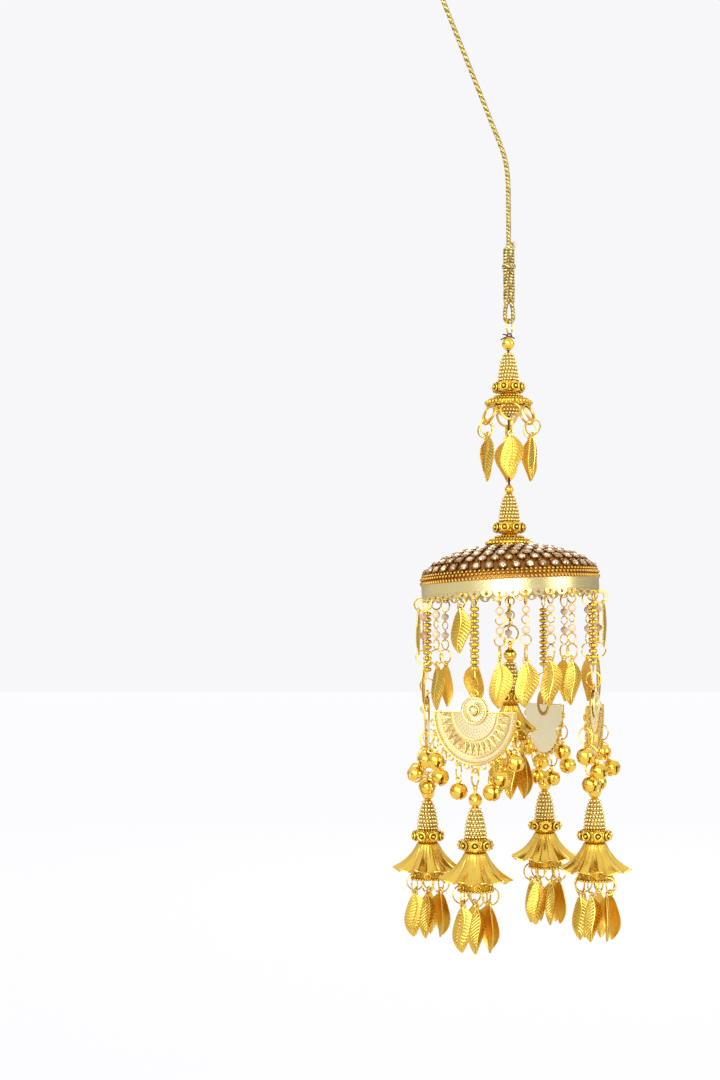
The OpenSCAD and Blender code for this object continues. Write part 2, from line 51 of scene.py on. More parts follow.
eye = bpy.data.cameras.new("camera")
eye.sensor_fit = "VERTICAL"
eye.sensor_height = 24
eye.lens = camera["focal"] / camera["height"] * 24  # focal length in photograph pixels
eye.clip_start, eye.clip_end = 0.01, 20
eyeObject = bpy.data.objects.new("camera", eye)
eyeObject.location = camera["place"]
eyeObject.rotation_euler = (math.radians(90 + camera["pitch"]), 0, 0)
bpy.context.scene.collection.objects.link(eyeObject)
bpy.context.scene.camera = eyeObject


# mesh tools, all in millimetres
# A part is (points, faces); faces have four corners, and the fourth is -1 in a triangle.

# Points and faces of a bmesh, which is then freed
def taken(mesh):
    mesh.verts.index_update()
    made = (
        np.array([v.co for v in mesh.verts]),
        np.array([([v.index for v in f.verts] + [-1])[:4] for f in mesh.faces]),
    )
    mesh.free()
    return made


def tidy(points, faces):
    mesh = bmesh.new()
    corners = [mesh.verts.new(p) for p in points]
    for face in faces:
        loop = list(dict.fromkeys(int(i) for i in face if i >= 0))
        if len(loop) > 2:
            try:
                mesh.faces.new([corners[i] for i in loop])
            except ValueError:
                pass  # the same face came twice
    bmesh.ops.remove_doubles(mesh, verts=mesh.verts, dist=1e-4)
    bmesh.ops.dissolve_degenerate(mesh, edges=mesh.edges, dist=1e-5)
    bmesh.ops.recalc_face_normals(mesh, faces=mesh.faces)
    many = [f for f in mesh.faces if len(f.verts) > 4]
    if many:
        bmesh.ops.triangulate(mesh, faces=many)
    return taken(mesh)


def grid(points, closeRows=False, closeCols=False):
    rows, cols = points.shape[:2]
    a, b = np.meshgrid(
        np.arange(rows if closeRows else rows - 1), np.arange(cols if closeCols else cols - 1), indexing="ij"
    )
    nextA, nextB = (a + 1) % rows, (b + 1) % cols
    faces = np.stack([a * cols + b, a * cols + nextB, nextA * cols + nextB, nextA * cols + b], -1)
    return points.reshape(-1, 3), faces.reshape(-1, 4)


def lathe(profile, sides, closed=True):
    profile = np.array(profile, float)
    turn = np.arange(sides) * 2 * np.pi / sides
    r, z = profile[:, :1], profile[:, 1:]
    points = np.stack([r * np.cos(turn), r * np.sin(turn), z + 0 * turn], -1)
    return tidy(*grid(points, closeRows=closed, closeCols=True))


def slab(front, back):
    cols = front.shape[1]
    points, faces = grid(np.concatenate([front, back[:, ::-1]], 1), closeCols=True)
    caps = [
        [base + j, base + j + 1, base + 2 * cols - 2 - j, base + 2 * cols - 1 - j]
        for base in (0, (len(front) - 1) * 2 * cols)
        for j in range(cols - 1)
    ]
    return tidy(points, np.vstack([faces, caps]))


def tube(line, radius, sides=6, closed=False):
    line = np.array(line, float)
    radius = np.broadcast_to(radius, len(line))
    if closed:
        ahead, behind = np.roll(line, -1, 0), np.roll(line, 1, 0)
    else:
        ahead, behind = np.vstack([line[1:], line[-1:]]), np.vstack([line[:1], line[:-1]])
    along = ahead - behind
    along /= np.linalg.norm(along, axis=1)[:, None]
    side = np.cross(along[0], (0.3, 0.9, 0.31) if abs(along[0][1]) < 0.8 else (1, 0.2, 0.1))
    sideways = []
    for a in along:  # carry the same side along, so that the tube doesn't twist
        side = side - a * (side @ a)
        side = side / np.linalg.norm(side)
        sideways.append(side)
    sideways = np.array(sideways)
    across = np.cross(along, sideways)
    turn = np.arange(sides) * 2 * np.pi / sides
    points = line[:, None] + radius[:, None, None] * (
        np.cos(turn)[None, :, None] * sideways[:, None] + np.sin(turn)[None, :, None] * across[:, None]
    )
    made, faces = grid(points, closeRows=closed, closeCols=True)
    if closed:
        return made, faces
    ends = []
    for base in (0, (len(line) - 1) * sides):
        ends += [[base, base + k, base + k + 1, -1] for k in range(1, sides - 1)]
    return made, np.vstack([faces, ends])


def ball(radius, detail=2):
    mesh = bmesh.new()
    bmesh.ops.create_icosphere(mesh, subdivisions=detail, radius=radius)
    return taken(mesh)


def join(*parts):
    points, faces, count = [], [], 0
    for p, f in parts:
        points.append(p)
        faces.append(np.where(f < 0, -1, f + count))
        count += len(p)
    return np.vstack(points), np.vstack(faces)


def scatter(part, places, sizes=1.0):
    places = np.array(places, float).reshape(-1, 3)
    sizes = np.broadcast_to(sizes, len(places))
    points = part[0][None] * sizes[:, None, None] + places[:, None]
    shift = (np.arange(len(places)) * len(part[0]))[:, None, None]
    faces = np.where(part[1][None] < 0, -1, part[1][None] + shift)
    return points.reshape(-1, 3), faces.reshape(-1, 4)


def put(part, *moves):
    matrix = Matrix.Identity(4)
    for move in moves:
        matrix = matrix @ move
    m = np.array(matrix)
    return part[0] @ m[:3, :3].T + m[:3, 3], part[1]


def shift(x, y, z):
    return Matrix.Translation((x, y, z))


def turn(angle, axis):
    return Matrix.Rotation(math.radians(angle), 4, axis)


def carried(point, *moves):
    return put((np.array([point], float), None), *moves)[0][0]


# Point at a radius and an angle in degrees round Z
def around(radius, degrees, z=0.0):
    a = math.radians(degrees)
    return np.array([radius * math.cos(a), radius * math.sin(a), z])


def circle(radius, count, z=0.0, start=0.0):
    a = np.radians(start) + np.arange(count) * 2 * np.pi / count
    return np.stack([radius * np.cos(a), radius * np.sin(a), np.full(count, z)], -1)


# Torus round Z
def ring(radius, wire, count=28, sides=8):
    a = np.arange(sides) * 2 * np.pi / sides
    return lathe(np.stack([radius + wire * np.cos(a), wire * np.sin(a)], -1), count)


# Jump ring that hangs from the origin in the XZ plane, with the fine seam where its wire was closed
def jumpRing(radius, wire, seam=200):
    a = np.radians(np.linspace(seam + 2.5, seam + 357.5, 30))
    line = np.stack([radius * np.cos(a), 0 * a, radius * np.sin(a) - radius], -1)
    return tube(line, wire, 8)


def makeMesh(name, parts, sharp=38):
    materials = list(dict.fromkeys(material for material, _ in parts))
    points, faces = join(*[part for _, part in parts])
    index = np.concatenate([np.full(len(part[1]), materials.index(m)) for m, part in parts])
    mesh = bpy.data.meshes.new(name)
    mesh.vertices.add(len(points))
    mesh.vertices.foreach_set("co", (points * 0.001).astype(np.float32).ravel())
    real = faces >= 0
    mesh.loops.add(int(real.sum()))
    mesh.loops.foreach_set("vertex_index", faces[real].astype(np.int32))
    sizes = real.sum(1)
    mesh.polygons.add(len(faces))
    mesh.polygons.foreach_set("loop_start", (np.cumsum(sizes) - sizes).astype(np.int32))
    mesh.polygons.foreach_set("material_index", index.astype(np.int32))
    mesh.update(calc_edges=True)
    mesh.validate()
    mesh.polygons.foreach_set("use_smooth", np.ones(len(mesh.polygons), bool))
    mesh.set_sharp_from_angle(angle=math.radians(sharp))
    for m in materials:
        mesh.materials.append(m)
    return mesh


# A piece that rides on the ornament itself
def makePiece(name, parts, replaced=(), sharp=38):
    return showPiece(name, makeMesh(name, parts, sharp), "ornament", replaced)


# A turned piece gets its turn in the points of its own mesh, and only its place in its matrix
def showPiece(name, mesh, body, replaced=(), matrix=None):
    if matrix is not None:
        mesh = mesh.copy()
        mesh.name = name
        mesh.transform(matrix.to_3x3().to_4x4())
    piece = bpy.data.objects.new(name, mesh)
    bpy.context.scene.collection.objects.link(piece)
    if matrix is not None:
        piece.matrix_world = Matrix.Translation(matrix.translation * 0.001)
    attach(piece, body)
    if replaced:
        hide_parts(*replaced)
    return piece


# materials

def srgb(code):
    part = [int(code[i:i + 2], 16) / 255 for i in (1, 3, 5)]
    return [p / 12.92 if p <= 0.04045 else ((p + 0.055) / 1.055) ** 2.4 for p in part] + [1.0]


def link(tree, node, sources):
    for socket, source in sources.items():
        tree.links.new(source, node.inputs[socket])


def addNode(tree, kind, values=None, links=None, **settings):
    node = tree.nodes.new(kind)
    for key, value in settings.items():
        setattr(node, key, value)
    for socket, value in (values or {}).items():
        node.inputs[socket].default_value = value
    link(tree, node, links or {})
    return node


def newMaterial(name, values):
    material = bpy.data.materials.new(name)
    material.use_nodes = True
    shader = material.node_tree.nodes["Principled BSDF"]
    for socket, value in values.items():
        shader.inputs[socket].default_value = value
    return material, material.node_tree, shader


# Texture in a piece's own coordinates, its scale from a size in millimetres
def texture(tree, kind, sizeMm, values=None, **settings):
    place = addNode(tree, "ShaderNodeTexCoord")
    return addNode(
        tree, "ShaderNodeTex" + kind, {"Scale": 1000 / sizeMm, **(values or {})},
        {"Vector": place.outputs["Object"]}, **settings,
    )


# Two colours mixed, each a hex code or another node's outlet
def mixColours(tree, factor, first, second):
    node = addNode(tree, "ShaderNodeMix", None, {0: factor}, data_type="RGBA")
    for socket, colour in ((6, first), (7, second)):
        if isinstance(colour, str):
            node.inputs[socket].default_value = srgb(colour)
        else:
            tree.links.new(colour, node.inputs[socket])
    return node.outputs[2]


# One on open surfaces, falling to nothing in hollows narrower than the reach: the mask for shade painted into
# hollows
def openness(tree, reachMm):
    return addNode(
        tree, "ShaderNodeAmbientOcclusion", {"Distance": reachMm / 1000}, samples=4, only_local=True
    ).outputs["AO"]


def relief(tree, height, depthMm):
    return addNode(
        tree, "ShaderNodeBump", {"Strength": 1.0, "Distance": depthMm / 1000}, {"Height": height}
    ).outputs["Normal"]


# Plated brass: lighter and deeper gold in soft patches, a finely cast skin, and painted shade in the hollows: the
# hollow colour where ambient occlusion finds them, which on antiqued castings also stands for their dark patina
def platedMetal(name, light, deep, hollow, rough, grainMm, bumpMm, hollowMm=0.7):
    material, tree, shader = newMaterial(name, {"Metallic": 1.0})
    patches = texture(tree, "Noise", 6, {"Detail": 3.0})  # plating varies over about 6 mm
    gold = mixColours(tree, patches.outputs["Fac"], light, deep)
    grain = texture(tree, "Noise", grainMm, {"Detail": 2.0}).outputs["Fac"]
    # Painted shade: this mask brings in the hollow colour where the surface lies in a hollow
    depth = addNode(
        tree, "ShaderNodeMapRange", {"From Min": 0.25, "From Max": 0.85}, {"Value": openness(tree, hollowMm)}
    )
    roughness = addNode(tree, "ShaderNodeMapRange", {"To Min": rough[0], "To Max": rough[1]}, {"Value": grain})
    link(tree, shader, {
        "Base Color": mixColours(tree, depth.outputs["Result"], hollow, gold),
        "Roughness": roughness.outputs["Result"],
        "Normal": relief(tree, grain, bumpMm),
    })
    return material


# High-polish gold plate on turned and stamped pieces: clear reflections, faint tumbling marks, painted shade in
# the hollows
polishedGold = platedMetal("polishedGoldPlate", "#fbdc66", "#eebc3c", "#6b4a10", (0.1, 0.22), 0.9, 0.012)
# Antiqued gold plate on castings: warm yellow on the high spots, brown in the hollows, partly real patina and
# partly painted shade
antiqueGold = platedMetal("antiquedGoldPlate", "#f7d45c", "#e0ae38", "#4f340a", (0.2, 0.38), 0.5, 0.03, 0.9)
# Floor of cast filigree: the same plate in the hollows between wires, duller, and darker and browner as painted
# shade
shadedFiligreeGround = platedMetal("shadedFiligreeGroundGold", "#dcab3c", "#b38228", "#452a08", (0.32, 0.5), 0.45, 0.06, 0.8)
# Pale flash plating on flat stampings: light, slightly milky yellow
paleGold = platedMetal("paleFlashGold", "#fdf0b8", "#f8df90", "#b5852a", (0.2, 0.34), 0.6, 0.015)
# Embossed leaf brass, plated: lively texture and yellow highlights
leafGold = platedMetal("embossedLeafGold", "#fde67e", "#f0c64c", "#6a480f", (0.2, 0.34), 0.55, 0.03, 0.5)
# Sheet between a leaf's veins: the same brass, duller, and a little deeper in colour as painted shade
shadedLeafGround = platedMetal("shadedStampedLeafGround", "#f3cd58", "#dba93c", "#6a440e", (0.26, 0.42), 0.5, 0.05, 0.5)
# Antique bronze settings on the dome: brown metal, nearly black between the stones, where painted shade deepens
# the real patina
darkBronze = platedMetal("antiqueBronze", "#a87838", "#7c5222", "#1f1105", (0.25, 0.42), 0.5, 0.03, 1.1)


# Foil-backed glass stones, champagne to smoky: hard glints on every facet
def foiledGlass():
    material, tree, shader = newMaterial(
        "foiledChampagneGlass",
        {"Metallic": 0.75, "Roughness": 0.08, "Coat Weight": 1.0, "Coat Roughness": 0.03},
    )
    cells = texture(tree, "Voronoi", 3.2)  # about one tint to a stone
    tint = addNode(tree, "ShaderNodeSeparateColor", None, {"Color": cells.outputs["Color"]})
    link(tree, shader, {"Base Color": mixColours(tree, tint.outputs["Red"], "#f3e3c4", "#a98c62")})
    return material


# Lacquered glass pearls: peach and cream, a soft sheen under a clear skin, and painted shade that turns each
# pearl tan towards its outline
def lacquerPearl():
    material, tree, shader = newMaterial(
        "lacqueredGlassPearl",
        {"Roughness": 0.3, "Coat Weight": 0.7, "Coat Roughness": 0.08, "Subsurface Weight": 0.25,
         "Subsurface Radius": (0.0012, 0.0008, 0.0005)},
    )
    cloud = texture(tree, "Noise", 7, {"Detail": 2.0})  # neighbouring pearls differ a little
    skin = mixColours(tree, cloud.outputs["Fac"], "#f1dcc2", "#e2b88c")
    # Painted shade: deeper tan where the surface turns away from the camera
    edge = addNode(tree, "ShaderNodeLayerWeight", {"Blend": 0.35})
    link(tree, shader, {"Base Color": mixColours(tree, edge.outputs["Facing"], skin, "#d9b184")})
    return material


# Metallic yarn and sewing thread: fine twisted fibres, with painted highlight and shade in bands along their lay
# and painted shade where yarns meet
def spunYarn(name, light, dark, metallic, rough, pitchMm):
    material, tree, shader = newMaterial(name, {"Metallic": metallic, "Roughness": rough, "Sheen Weight": 0.2})
    lay = texture(
        tree, "Wave", pitchMm * 6.28, {"Distortion": 2.0, "Detail": 1.0}, bands_direction="DIAGONAL"
    ).outputs["Fac"]
    # Painted highlight and shade: light and dark bands along the lay
    layHighlightAndShade = mixColours(tree, lay, light, dark)
    # Painted shade: the dark colour where yarns meet, through the hollow mask
    link(tree, shader, {
        "Base Color": mixColours(tree, openness(tree, 0.5), dark, layHighlightAndShade), "Normal": relief(tree, lay, 0.06),
    })
    return material


stoneGlass = foiledGlass()
pearlSkin = lacquerPearl()
goldYarn = spunYarn("goldLurexYarn", "#f2dc8a", "#7a6420", 0.75, 0.35, 0.4)
maroonThread = spunYarn("maroonCottonThread", "#5a1f16", "#240a07", 0.0, 0.75, 0.3)
print("materials made")

# cord, loop and whipping
cordLook = {
    "diameter": 2.1, "strands": 8, "lay": 5.2, "yarn": 0.36,
    "route": [  # the cord's points, as in the part's source
        (3.9, 0, -10.2), (6, 0, -15.6), (9, 0, -23.4), (12, 0, -31.2), (15, 0, -39),
        (18, 0, -46.8), (21, 0, -54.6), (24, 0, -62.4), (26.4, 0, -68.6), (28.2, 0, -73.4),
        (29.6, 0, -77.6), (30.5, 0, -82), (31, 0, -87), (31.2, 0, -93), (31.2, 0, -99),
        (31.2, 0, -105), (31.2, 0, -110), (31.2, 0, -115.2),
    ],
    "slope": (0.36, 0, -0.933), "loopRadius": 3.2, "knotAt": 8.5,
}


def farAlong(line):
    return np.concatenate([[0], np.cumsum(np.linalg.norm(np.diff(line, axis=0), axis=1))])


def pointsAt(line, at):
    far = farAlong(line)
    return np.stack([np.interp(at, far, line[:, k]) for k in range(3)], -1)


# Points spaced evenly along a smooth curve through the given ones
def smoothLine(points, step, closed=False):
    p = np.array(points, float)
    n = len(p)
    made = []
    for i in range(n if closed else n - 1):
        pick = [(i + k) % n if closed else min(max(i + k, 0), n - 1) for k in (-1, 0, 1, 2)]
        a, b, c, d = p[pick]
        t = np.linspace(0, 1, 24, endpoint=False)[:, None]
        made.append(
            0.5 * (2 * b + (c - a) * t + (2 * a - 5 * b + 4 * c - d) * t**2 + (3 * b - a - 3 * c + d) * t**3)
        )
    made = np.vstack(made + [p[:1] if closed else p[-1:]])
    far = farAlong(made)[-1]
    return pointsAt(made, np.linspace(0, far, max(8, int(far / step)) + 1))


# Round braid: half of the yarns wind one way and half the other, over and under in turn
def braid(points, diameter, strands, lay, yarn, step=0.36, sides=5):
    line = smoothLine(points, step)
    along = np.gradient(line, axis=0)
    along /= np.linalg.norm(along, axis=1)[:, None]
    out = np.array([0.0, 1.0, 0.0])  # every route lies in the XZ plane
    side = np.cross(along, out)
    side /= np.linalg.norm(side, axis=1)[:, None]
    far = farAlong(line)
    parts = []
    for k in range(strands):
        way = 1 if k % 2 else -1
        a = way * 2 * np.pi * far / lay + 2 * np.pi * (k // 2) / (strands / 2)
        over = 0.13 * np.sin(2 * np.pi * far / lay * strands / 2 + (np.pi if way < 0 else 0))
        r = (diameter / 2 - yarn - 0.05 + over)[:, None]
        parts.append(tube(line + r * (np.cos(a)[:, None] * side + np.sin(a)[:, None] * out), yarn, sides))
    core = tube(line, diameter / 2 - yarn - 0.1, 8)
    return join(*parts, core)


c = cordLook
slope = np.array(c["slope"])
cord = makePiece(
    "braidedCord", [(goldYarn, braid(c["route"], c["diameter"], c["strands"], c["lay"], c["yarn"]))],
    ["cord"], sharp=80,
)

loopCentre = slope * (c["loopRadius"] - c["diameter"] / 2)
slopeAngle = math.degrees(math.atan2(slope[2], slope[0]))
loopLine = [
    loopCentre + c["loopRadius"] * np.array([math.cos(math.radians(a)), 0, math.sin(math.radians(a))])
    for a in np.linspace(slopeAngle + 8, slopeAngle + 352, 26)
]
knotCentre = slope * c["knotAt"]
knotTurns = []
for n, lean in enumerate((0, 38, -38)):  # three wraps of cord make the knot
    a = np.radians(np.linspace(0, 330, 26) + 60 * n)
    wrap = np.stack([1.35 * np.cos(a), 1.35 * np.sin(a), 0.25 * np.cos(2 * a)], -1)
    knotTurns.append(
        put(
            tube(wrap, 0.85, 8), shift(*knotCentre), turn(-slopeAngle - 90, "Y"), turn(lean, "X"),
            shift(0, 0, 0.5 - 0.5 * n)
        )
    )
knotEnd = slope * 10.92
hangLoop = makePiece(
    "hangLoop",
    [
        (goldYarn, braid(loopLine, c["diameter"], c["strands"], c["lay"], c["yarn"])),
        (goldYarn, join(*knotTurns)),
        (goldYarn, braid([slope * 6.4, slope * 8, slope * 9.5, knotEnd], c["diameter"], 8, c["lay"], c["yarn"])),
    ],
    ["hang_loop"], sharp=80,
)

whipping = {"x": 31.2, "top": -115.2, "length": 23.4, "turns": 18, "yarn": 0.5, "apart": 1.05, "footZ": -145.8}
w = whipping
coils = []
for side in (-1, 1):  # two plies lie side by side, bound in opposite turns
    t = np.linspace(0, 1, w["turns"] * 14)
    a = side * 2 * np.pi * t * w["turns"] + (np.pi if side > 0 else 0)
    swell = 0.86 + 0.1 * np.sin(np.pi * t) + 0.05 * np.sin(9 * t + side)
    coil = np.stack(
        [
            w["x"] + side * w["apart"] + swell * np.cos(a), 1.1 * swell * np.sin(a),
            w["top"] - 0.6 - (w["length"] - 1.2) * t
        ], -1
    )
    coils.append(tube(coil, w["yarn"], 6))
    coils.append(
        tube([(w["x"] + side * w["apart"] * 0.9, 0, w["top"] - k) for k in (0.3, 12, w["length"])], 0.85, 10)
    )
tieZ = w["top"] - 7.4
ties = [
    put(ring(1.0, 0.36, 40, 8), shift(w["x"], 0, tieZ - 0.55 * k), Matrix.Diagonal((2.15, 1.55, 1.0, 1.0)))
    for k in range(3)
]
tuft = []
for n in range(16):  # frayed end of the binding yarn
    a, b = dice.uniform(-0.5, 0.9), dice.uniform(-0.6, 0.6)
    reach = dice.uniform(1.4, 3.0)
    tip = np.array([math.cos(a) * math.cos(b), math.sin(b), math.sin(a)])
    root = np.array([w["x"] + 0.7 + 0.3 * dice.uniform(-1, 1), -0.7, w["top"] + 0.6 + 0.7 * dice.uniform(-1, 1)])
    tuft.append(tube([root, root + tip * reach * 0.5 + [0, 0, 0.3], root + tip * reach], [0.2, 0.14, 0.05], 5))
tuft.append(put(ball(1.15), shift(w["x"] + 0.15, 0, w["top"] + 0.2), Matrix.Diagonal((1.15, 1.0, 1.7, 1.0))))
legTop = w["top"] - w["length"] + 1
eyeZ = w["footZ"] + 1.6
under = np.radians(np.linspace(180, 360, 13))
eyeLine = (
    [(w["x"] - 0.95, 0, legTop), (w["x"] - 1.5, 0, (legTop + eyeZ) / 2)]
    + [(w["x"] + 1.6 * math.cos(a), 0, eyeZ + 1.6 * math.sin(a)) for a in under]
    + [(w["x"] + 1.5, 0, (legTop + eyeZ) / 2), (w["x"] + 0.95, 0, legTop)]
)
makePiece(
    "cordWhipping",
    [(goldYarn, join(*coils, *tuft)), (goldYarn, join(*ties)), (goldYarn, braid(eyeLine, 1.9, 6, 3.6, 0.34))],
    ["cord_whipping"], sharp=80,
)
print("cord made")

# strung pieces
stringing = {"bodyX": 30.8, "ringTop": -144.6, "ringRadius": 3.1, "ringTurn": 62, "threadRadius": 0.45}
s = stringing
bodyX = s["bodyX"]
topRing = put(jumpRing(s["ringRadius"], 0.34), shift(31.2, 0, s["ringTop"]), turn(s["ringTurn"], "Z"))
makePiece("topRing", [(polishedGold, topRing)], ["top_ring"])
knotZ = s["ringTop"] - 2 * s["ringRadius"] - 0.7
threadParts = [
    put(ring(0.85, 0.34, 20, 8), shift(31.2, 0, knotZ), turn(90, "X")),
    tube(
        [(31.1, 0.2, knotZ - 0.4), (bodyX, 0, knotZ - 2.5), (bodyX, 0, -190), (bodyX, 0, -241.8)],
        s["threadRadius"], 8
    ),
    put(ring(1.0, 0.35, 20, 8), shift(bodyX, 0, -243.3), turn(90, "X")),
    put(ball(0.75), shift(31.1, -0.2, knotZ - 0.7)),
]
for tip in ((-2.6, -0.5, 1.1), (-3.4, -0.6, -1.2), (2.2, -0.4, -0.6)):  # the knot's cut ends
    mid = np.array(tip) * 0.5 + [0, 0, 0.35]
    start = np.array([31.1, -0.2, knotZ - 0.6])
    threadParts.append(tube([start, start + mid, start + tip], [0.34, 0.3, 0.26], 6))
makePiece("stringThread", [(maroonThread, join(*threadParts))], ["string_thread"])

beadLook = {"radius": 2.6, "bore": 0.8, "middleRadius": 1.8}


# Hollow ball bead with a rolled lip round each hole
def plainBead(radius, bore):
    a = np.radians(np.linspace(0, 180, 25))
    skin = [(max(bore, radius * math.sin(t)), radius * math.cos(t)) for t in a]
    bead = lathe(skin + [(bore, -radius * 0.9), (bore, radius * 0.9)], 36)
    lip = ring(bore + 0.18, 0.2, 24, 8)
    return join(bead, put(lip, shift(0, 0, radius * 0.94)), put(lip, shift(0, 0, -radius * 0.94)))


makePiece(
    "topBead", [(polishedGold, put(plainBead(beadLook["radius"], beadLook["bore"]), shift(bodyX, 0, -154.8)))],
    ["top_ball"],
)
makePiece(
    "middleBead",
    [(polishedGold, put(plainBead(beadLook["middleRadius"], beadLook["bore"]), shift(bodyX, 0, -213.95)))],
    ["middle_ball"],
)

coneLook = {"rows": 8, "footRadius": 4.3, "granule": 0.62, "pitch": 1.22, "bore": 0.85}


# Beehive cone, its top at the origin: eight rows of granules on a core, each row with a fine wire under it
def beehiveCone(height):
    k = coneLook

    def rowRadius(t):
        return 1.7 + (k["footRadius"] - 2) * math.sin(math.pi / 2 * t) ** 0.85

    core = [(k["bore"], 0)]
    granules, sizes, wires = [], [], []
    grain = ball(1.0, 2)
    for i in range(k["rows"]):
        z = -height * (i + 0.5) / k["rows"]
        r = rowRadius((i + 0.5) / k["rows"])
        core += [(rowRadius((i + 0.1) / k["rows"]) - 0.35, -height * (i + 0.02) / k["rows"]), (r - 0.2, z)]
        n = max(8, round(2 * math.pi * (r - 0.2) / k["pitch"]))
        granules.append(circle(r - 0.18, n, z, 180 / n * (i % 2)))
        sizes += [k["granule"] * (0.9 if i == 0 else 1.0)] * n
        foot = (i + 1) / k["rows"]
        wires.append(put(ring(rowRadius(foot) - 0.22, 0.17, 36, 6), shift(0, 0, -height * foot)))
    core += [(rowRadius(1) - 0.4, -height), (k["bore"], -height)]
    # Core in the shaded ground gold, granules and wires in the pale lit gold: painted shade and painted highlight
    return [
        (shadedFiligreeGround, lathe(core, 36)),
        (litGranuleGold, scatter(grain, np.vstack(granules), sizes)),
        (litGranuleGold, join(*wires[:-1])),
    ]


# Pale gold on the granulated cones' granules and wires: a lit copy of the cone gold, its paleness a painted
# highlight over the shaded core
litGranuleGold = platedMetal("litGranulatedPaleGold", "#fcecac", "#f1ce6e", "#6f4b12", (0.16, 0.3), 0.5, 0.015, 0.6)


def moved(parts, *moves):
    return [(material, put(part, *moves)) for material, part in parts]


makePiece(
    "upperCone", moved(beehiveCone(11.7), shift(bodyX, 0, -158.6)), ["upper_cone"]
)
makePiece(
    "lowerCone", moved(beehiveCone(11.1), shift(bodyX, 0, -215.85)), ["lower_cone"]
)

spacerLook = {"height": 4.5, "lobes": 8, "bore": 0.85}


# Flower spacer, its top at the origin: eight rosettes round a hub, each a coiled wire with a bead in its middle,
# whose cup is dark with painted shade
def flowerSpacer():
    k = spacerLook
    middle = -k["height"] / 2
    hub = lathe(
        [
            (k["bore"], 0), (3.4, 0), (4.3, -0.7), (4.9, middle), (4.3, middle * 2 + 0.7), (3.4, -k["height"]),
            (k["bore"], -k["height"])
        ],
        40,
    )
    cup = lathe(
        [(0.02, 0.55), (1.0, 0.45), (1.75, -0.1), (1.95, -1.0), (1.2, -2.4), (0.02, -2.5)], 16, closed=False
    )
    rosette, wells, grains = [], [], []
    for i in range(k["lobes"]):
        out = [turn((i + 0.5) * 360 / k["lobes"], "Z"), shift(5.35, 0, middle), turn(90, "Y")]
        rosette.append(put(ring(1.42, 0.42, 20, 8), *out, shift(0, 0, 0.75)))
        rosette.append(put(ring(1.95, 0.3, 20, 6), *out, shift(0, 0, -0.1)))
        rosette.append(put(ball(0.72), *out, shift(0, 0, 1.05)))
        wells.append(put(cup, *out))
        for side in (-1, 1):
            grains.append(around(5.1, i * 360 / k["lobes"], middle + side * 1.35))
    rope = [circle(3.7, 22, -0.25), circle(3.7, 22, 0.25 - k["height"])]
    return [
        (shadedFiligreeGround, join(hub, *wells)),
        (antiqueGold, join(*rosette, scatter(ball(0.62), grains), scatter(ball(0.42), np.vstack(rope)))),
    ]


makePiece(
    "upperSpacer", moved(flowerSpacer(), shift(bodyX, 0, -170.4)), ["upper_spacer"]
)
makePiece(
    "lowerSpacer", moved(flowerSpacer(), shift(bodyX, 0, -227.05)), ["lower_spacer"]
)


# Beaded cap, its top at the origin: a smooth neck, two roped steps and a rim of upright granules
def beadedCap():
    bore = 0.8
    body = lathe(
        [(bore, 0), (2.9, 0), (3.2, -0.5), (3.1, -0.9), (5.0, -1.25), (6.2, -2.1), (7.6, -2.6), (8.3, -3.1),
         (9.0, -3.5), (9.1, -4.7), (8.3, -4.9), (bore, -4.9)],
        64,
    )
    ropes = []
    for radius, z, n, size in ((5.4, -1.35, 30, 0.56), (7.5, -2.55, 40, 0.6)):
        places = circle(radius, n, z)
        ropes += [
            put(
                ball(size), shift(*p), turn(math.degrees(math.atan2(p[1], p[0])), "Z"),
                Matrix.Diagonal((1.1, 0.85, 0.8, 1.0))
            )
            for p in places
        ]
    rim = [
        put(ball(0.78), turn(a, "Z"), shift(9.0, 0, -4.0), turn(25, "Y"), Matrix.Diagonal((0.95, 0.95, 1.2, 1.0)))
        for a in np.arange(34) * 360 / 34
    ]
    lines = [
        put(ring(r, 0.16, 64, 6), shift(0, 0, z))
        for r, z in ((3.15, -0.7), (6.35, -2.05), (8.45, -3.15), (9.1, -4.85))
    ]
    return [(antiqueGold, body), (antiqueGold, join(*ropes, *rim)), (polishedGold, join(*lines))]


hoopLook = {"count": 6, "radius": 3.9, "at": 9, "tilt": 24, "z": -183.26}

h = hoopLook
hoops, underside = [], []
for i in range(h["count"]):  # petal hoops of flat wire, each drawn to a point at its foot
    a = np.radians(np.arange(32) * 360 / 32)
    flat = np.stack([h["radius"] * np.cos(a), h["radius"] * np.sin(a), 0 * a], -1)
    flat[:, 1] *= 1 - 0.12 * np.cos(a)
    band = tube(flat, 0.5, 8, closed=True)
    hoops.append(
        put(
            band, shift(bodyX, 0, h["z"]), turn((i + 0.5) * 60, "Z"), shift(h["at"], 0, 0),
            turn(90 - h["tilt"], "Y")
        )
    )
for row, (r, z) in enumerate(((5.2, -180.4), (4.6, -181.9), (3.4, -183.1), (1.8, -183.8))):
    underside.append(circle(r, round(2 * math.pi * r / 1.25), z, 9 * row) + [bodyX, 0, 0])
underDome = put(
    lathe(
        [(0.9, 0.5), (5.4, 0.5), (5.3, -0.6), (4.4, -2.3), (3.0, -3.5), (0.9, -4.1)], 40
    ), shift(bodyX, 0, -180.0)
)
makePiece(
    "upperCap",
    moved(beadedCap(), shift(bodyX, 0, -175.0))
    + [
        (antiqueGold, join(*hoops)), (litGranuleGold, scatter(ball(0.6), np.vstack(underside))),
        (shadedFiligreeGround, underDome)
    ],
    ["upper_cap"],
)
makePiece("domeCap", moved(beadedCap(), shift(bodyX, 0, -231.65)), ["dome_cap"])
print("strung pieces made")

# leaves
leafLook = {
    "length": 17.8, "width": 8.6, "thick": 0.42, "sway": 0.9, "crown": 0.75, "veins": 11,
    "ribWire": 0.36, "veinWire": 0.17, "edgeGrain": 0.27, "edgePitch": 0.78,
}


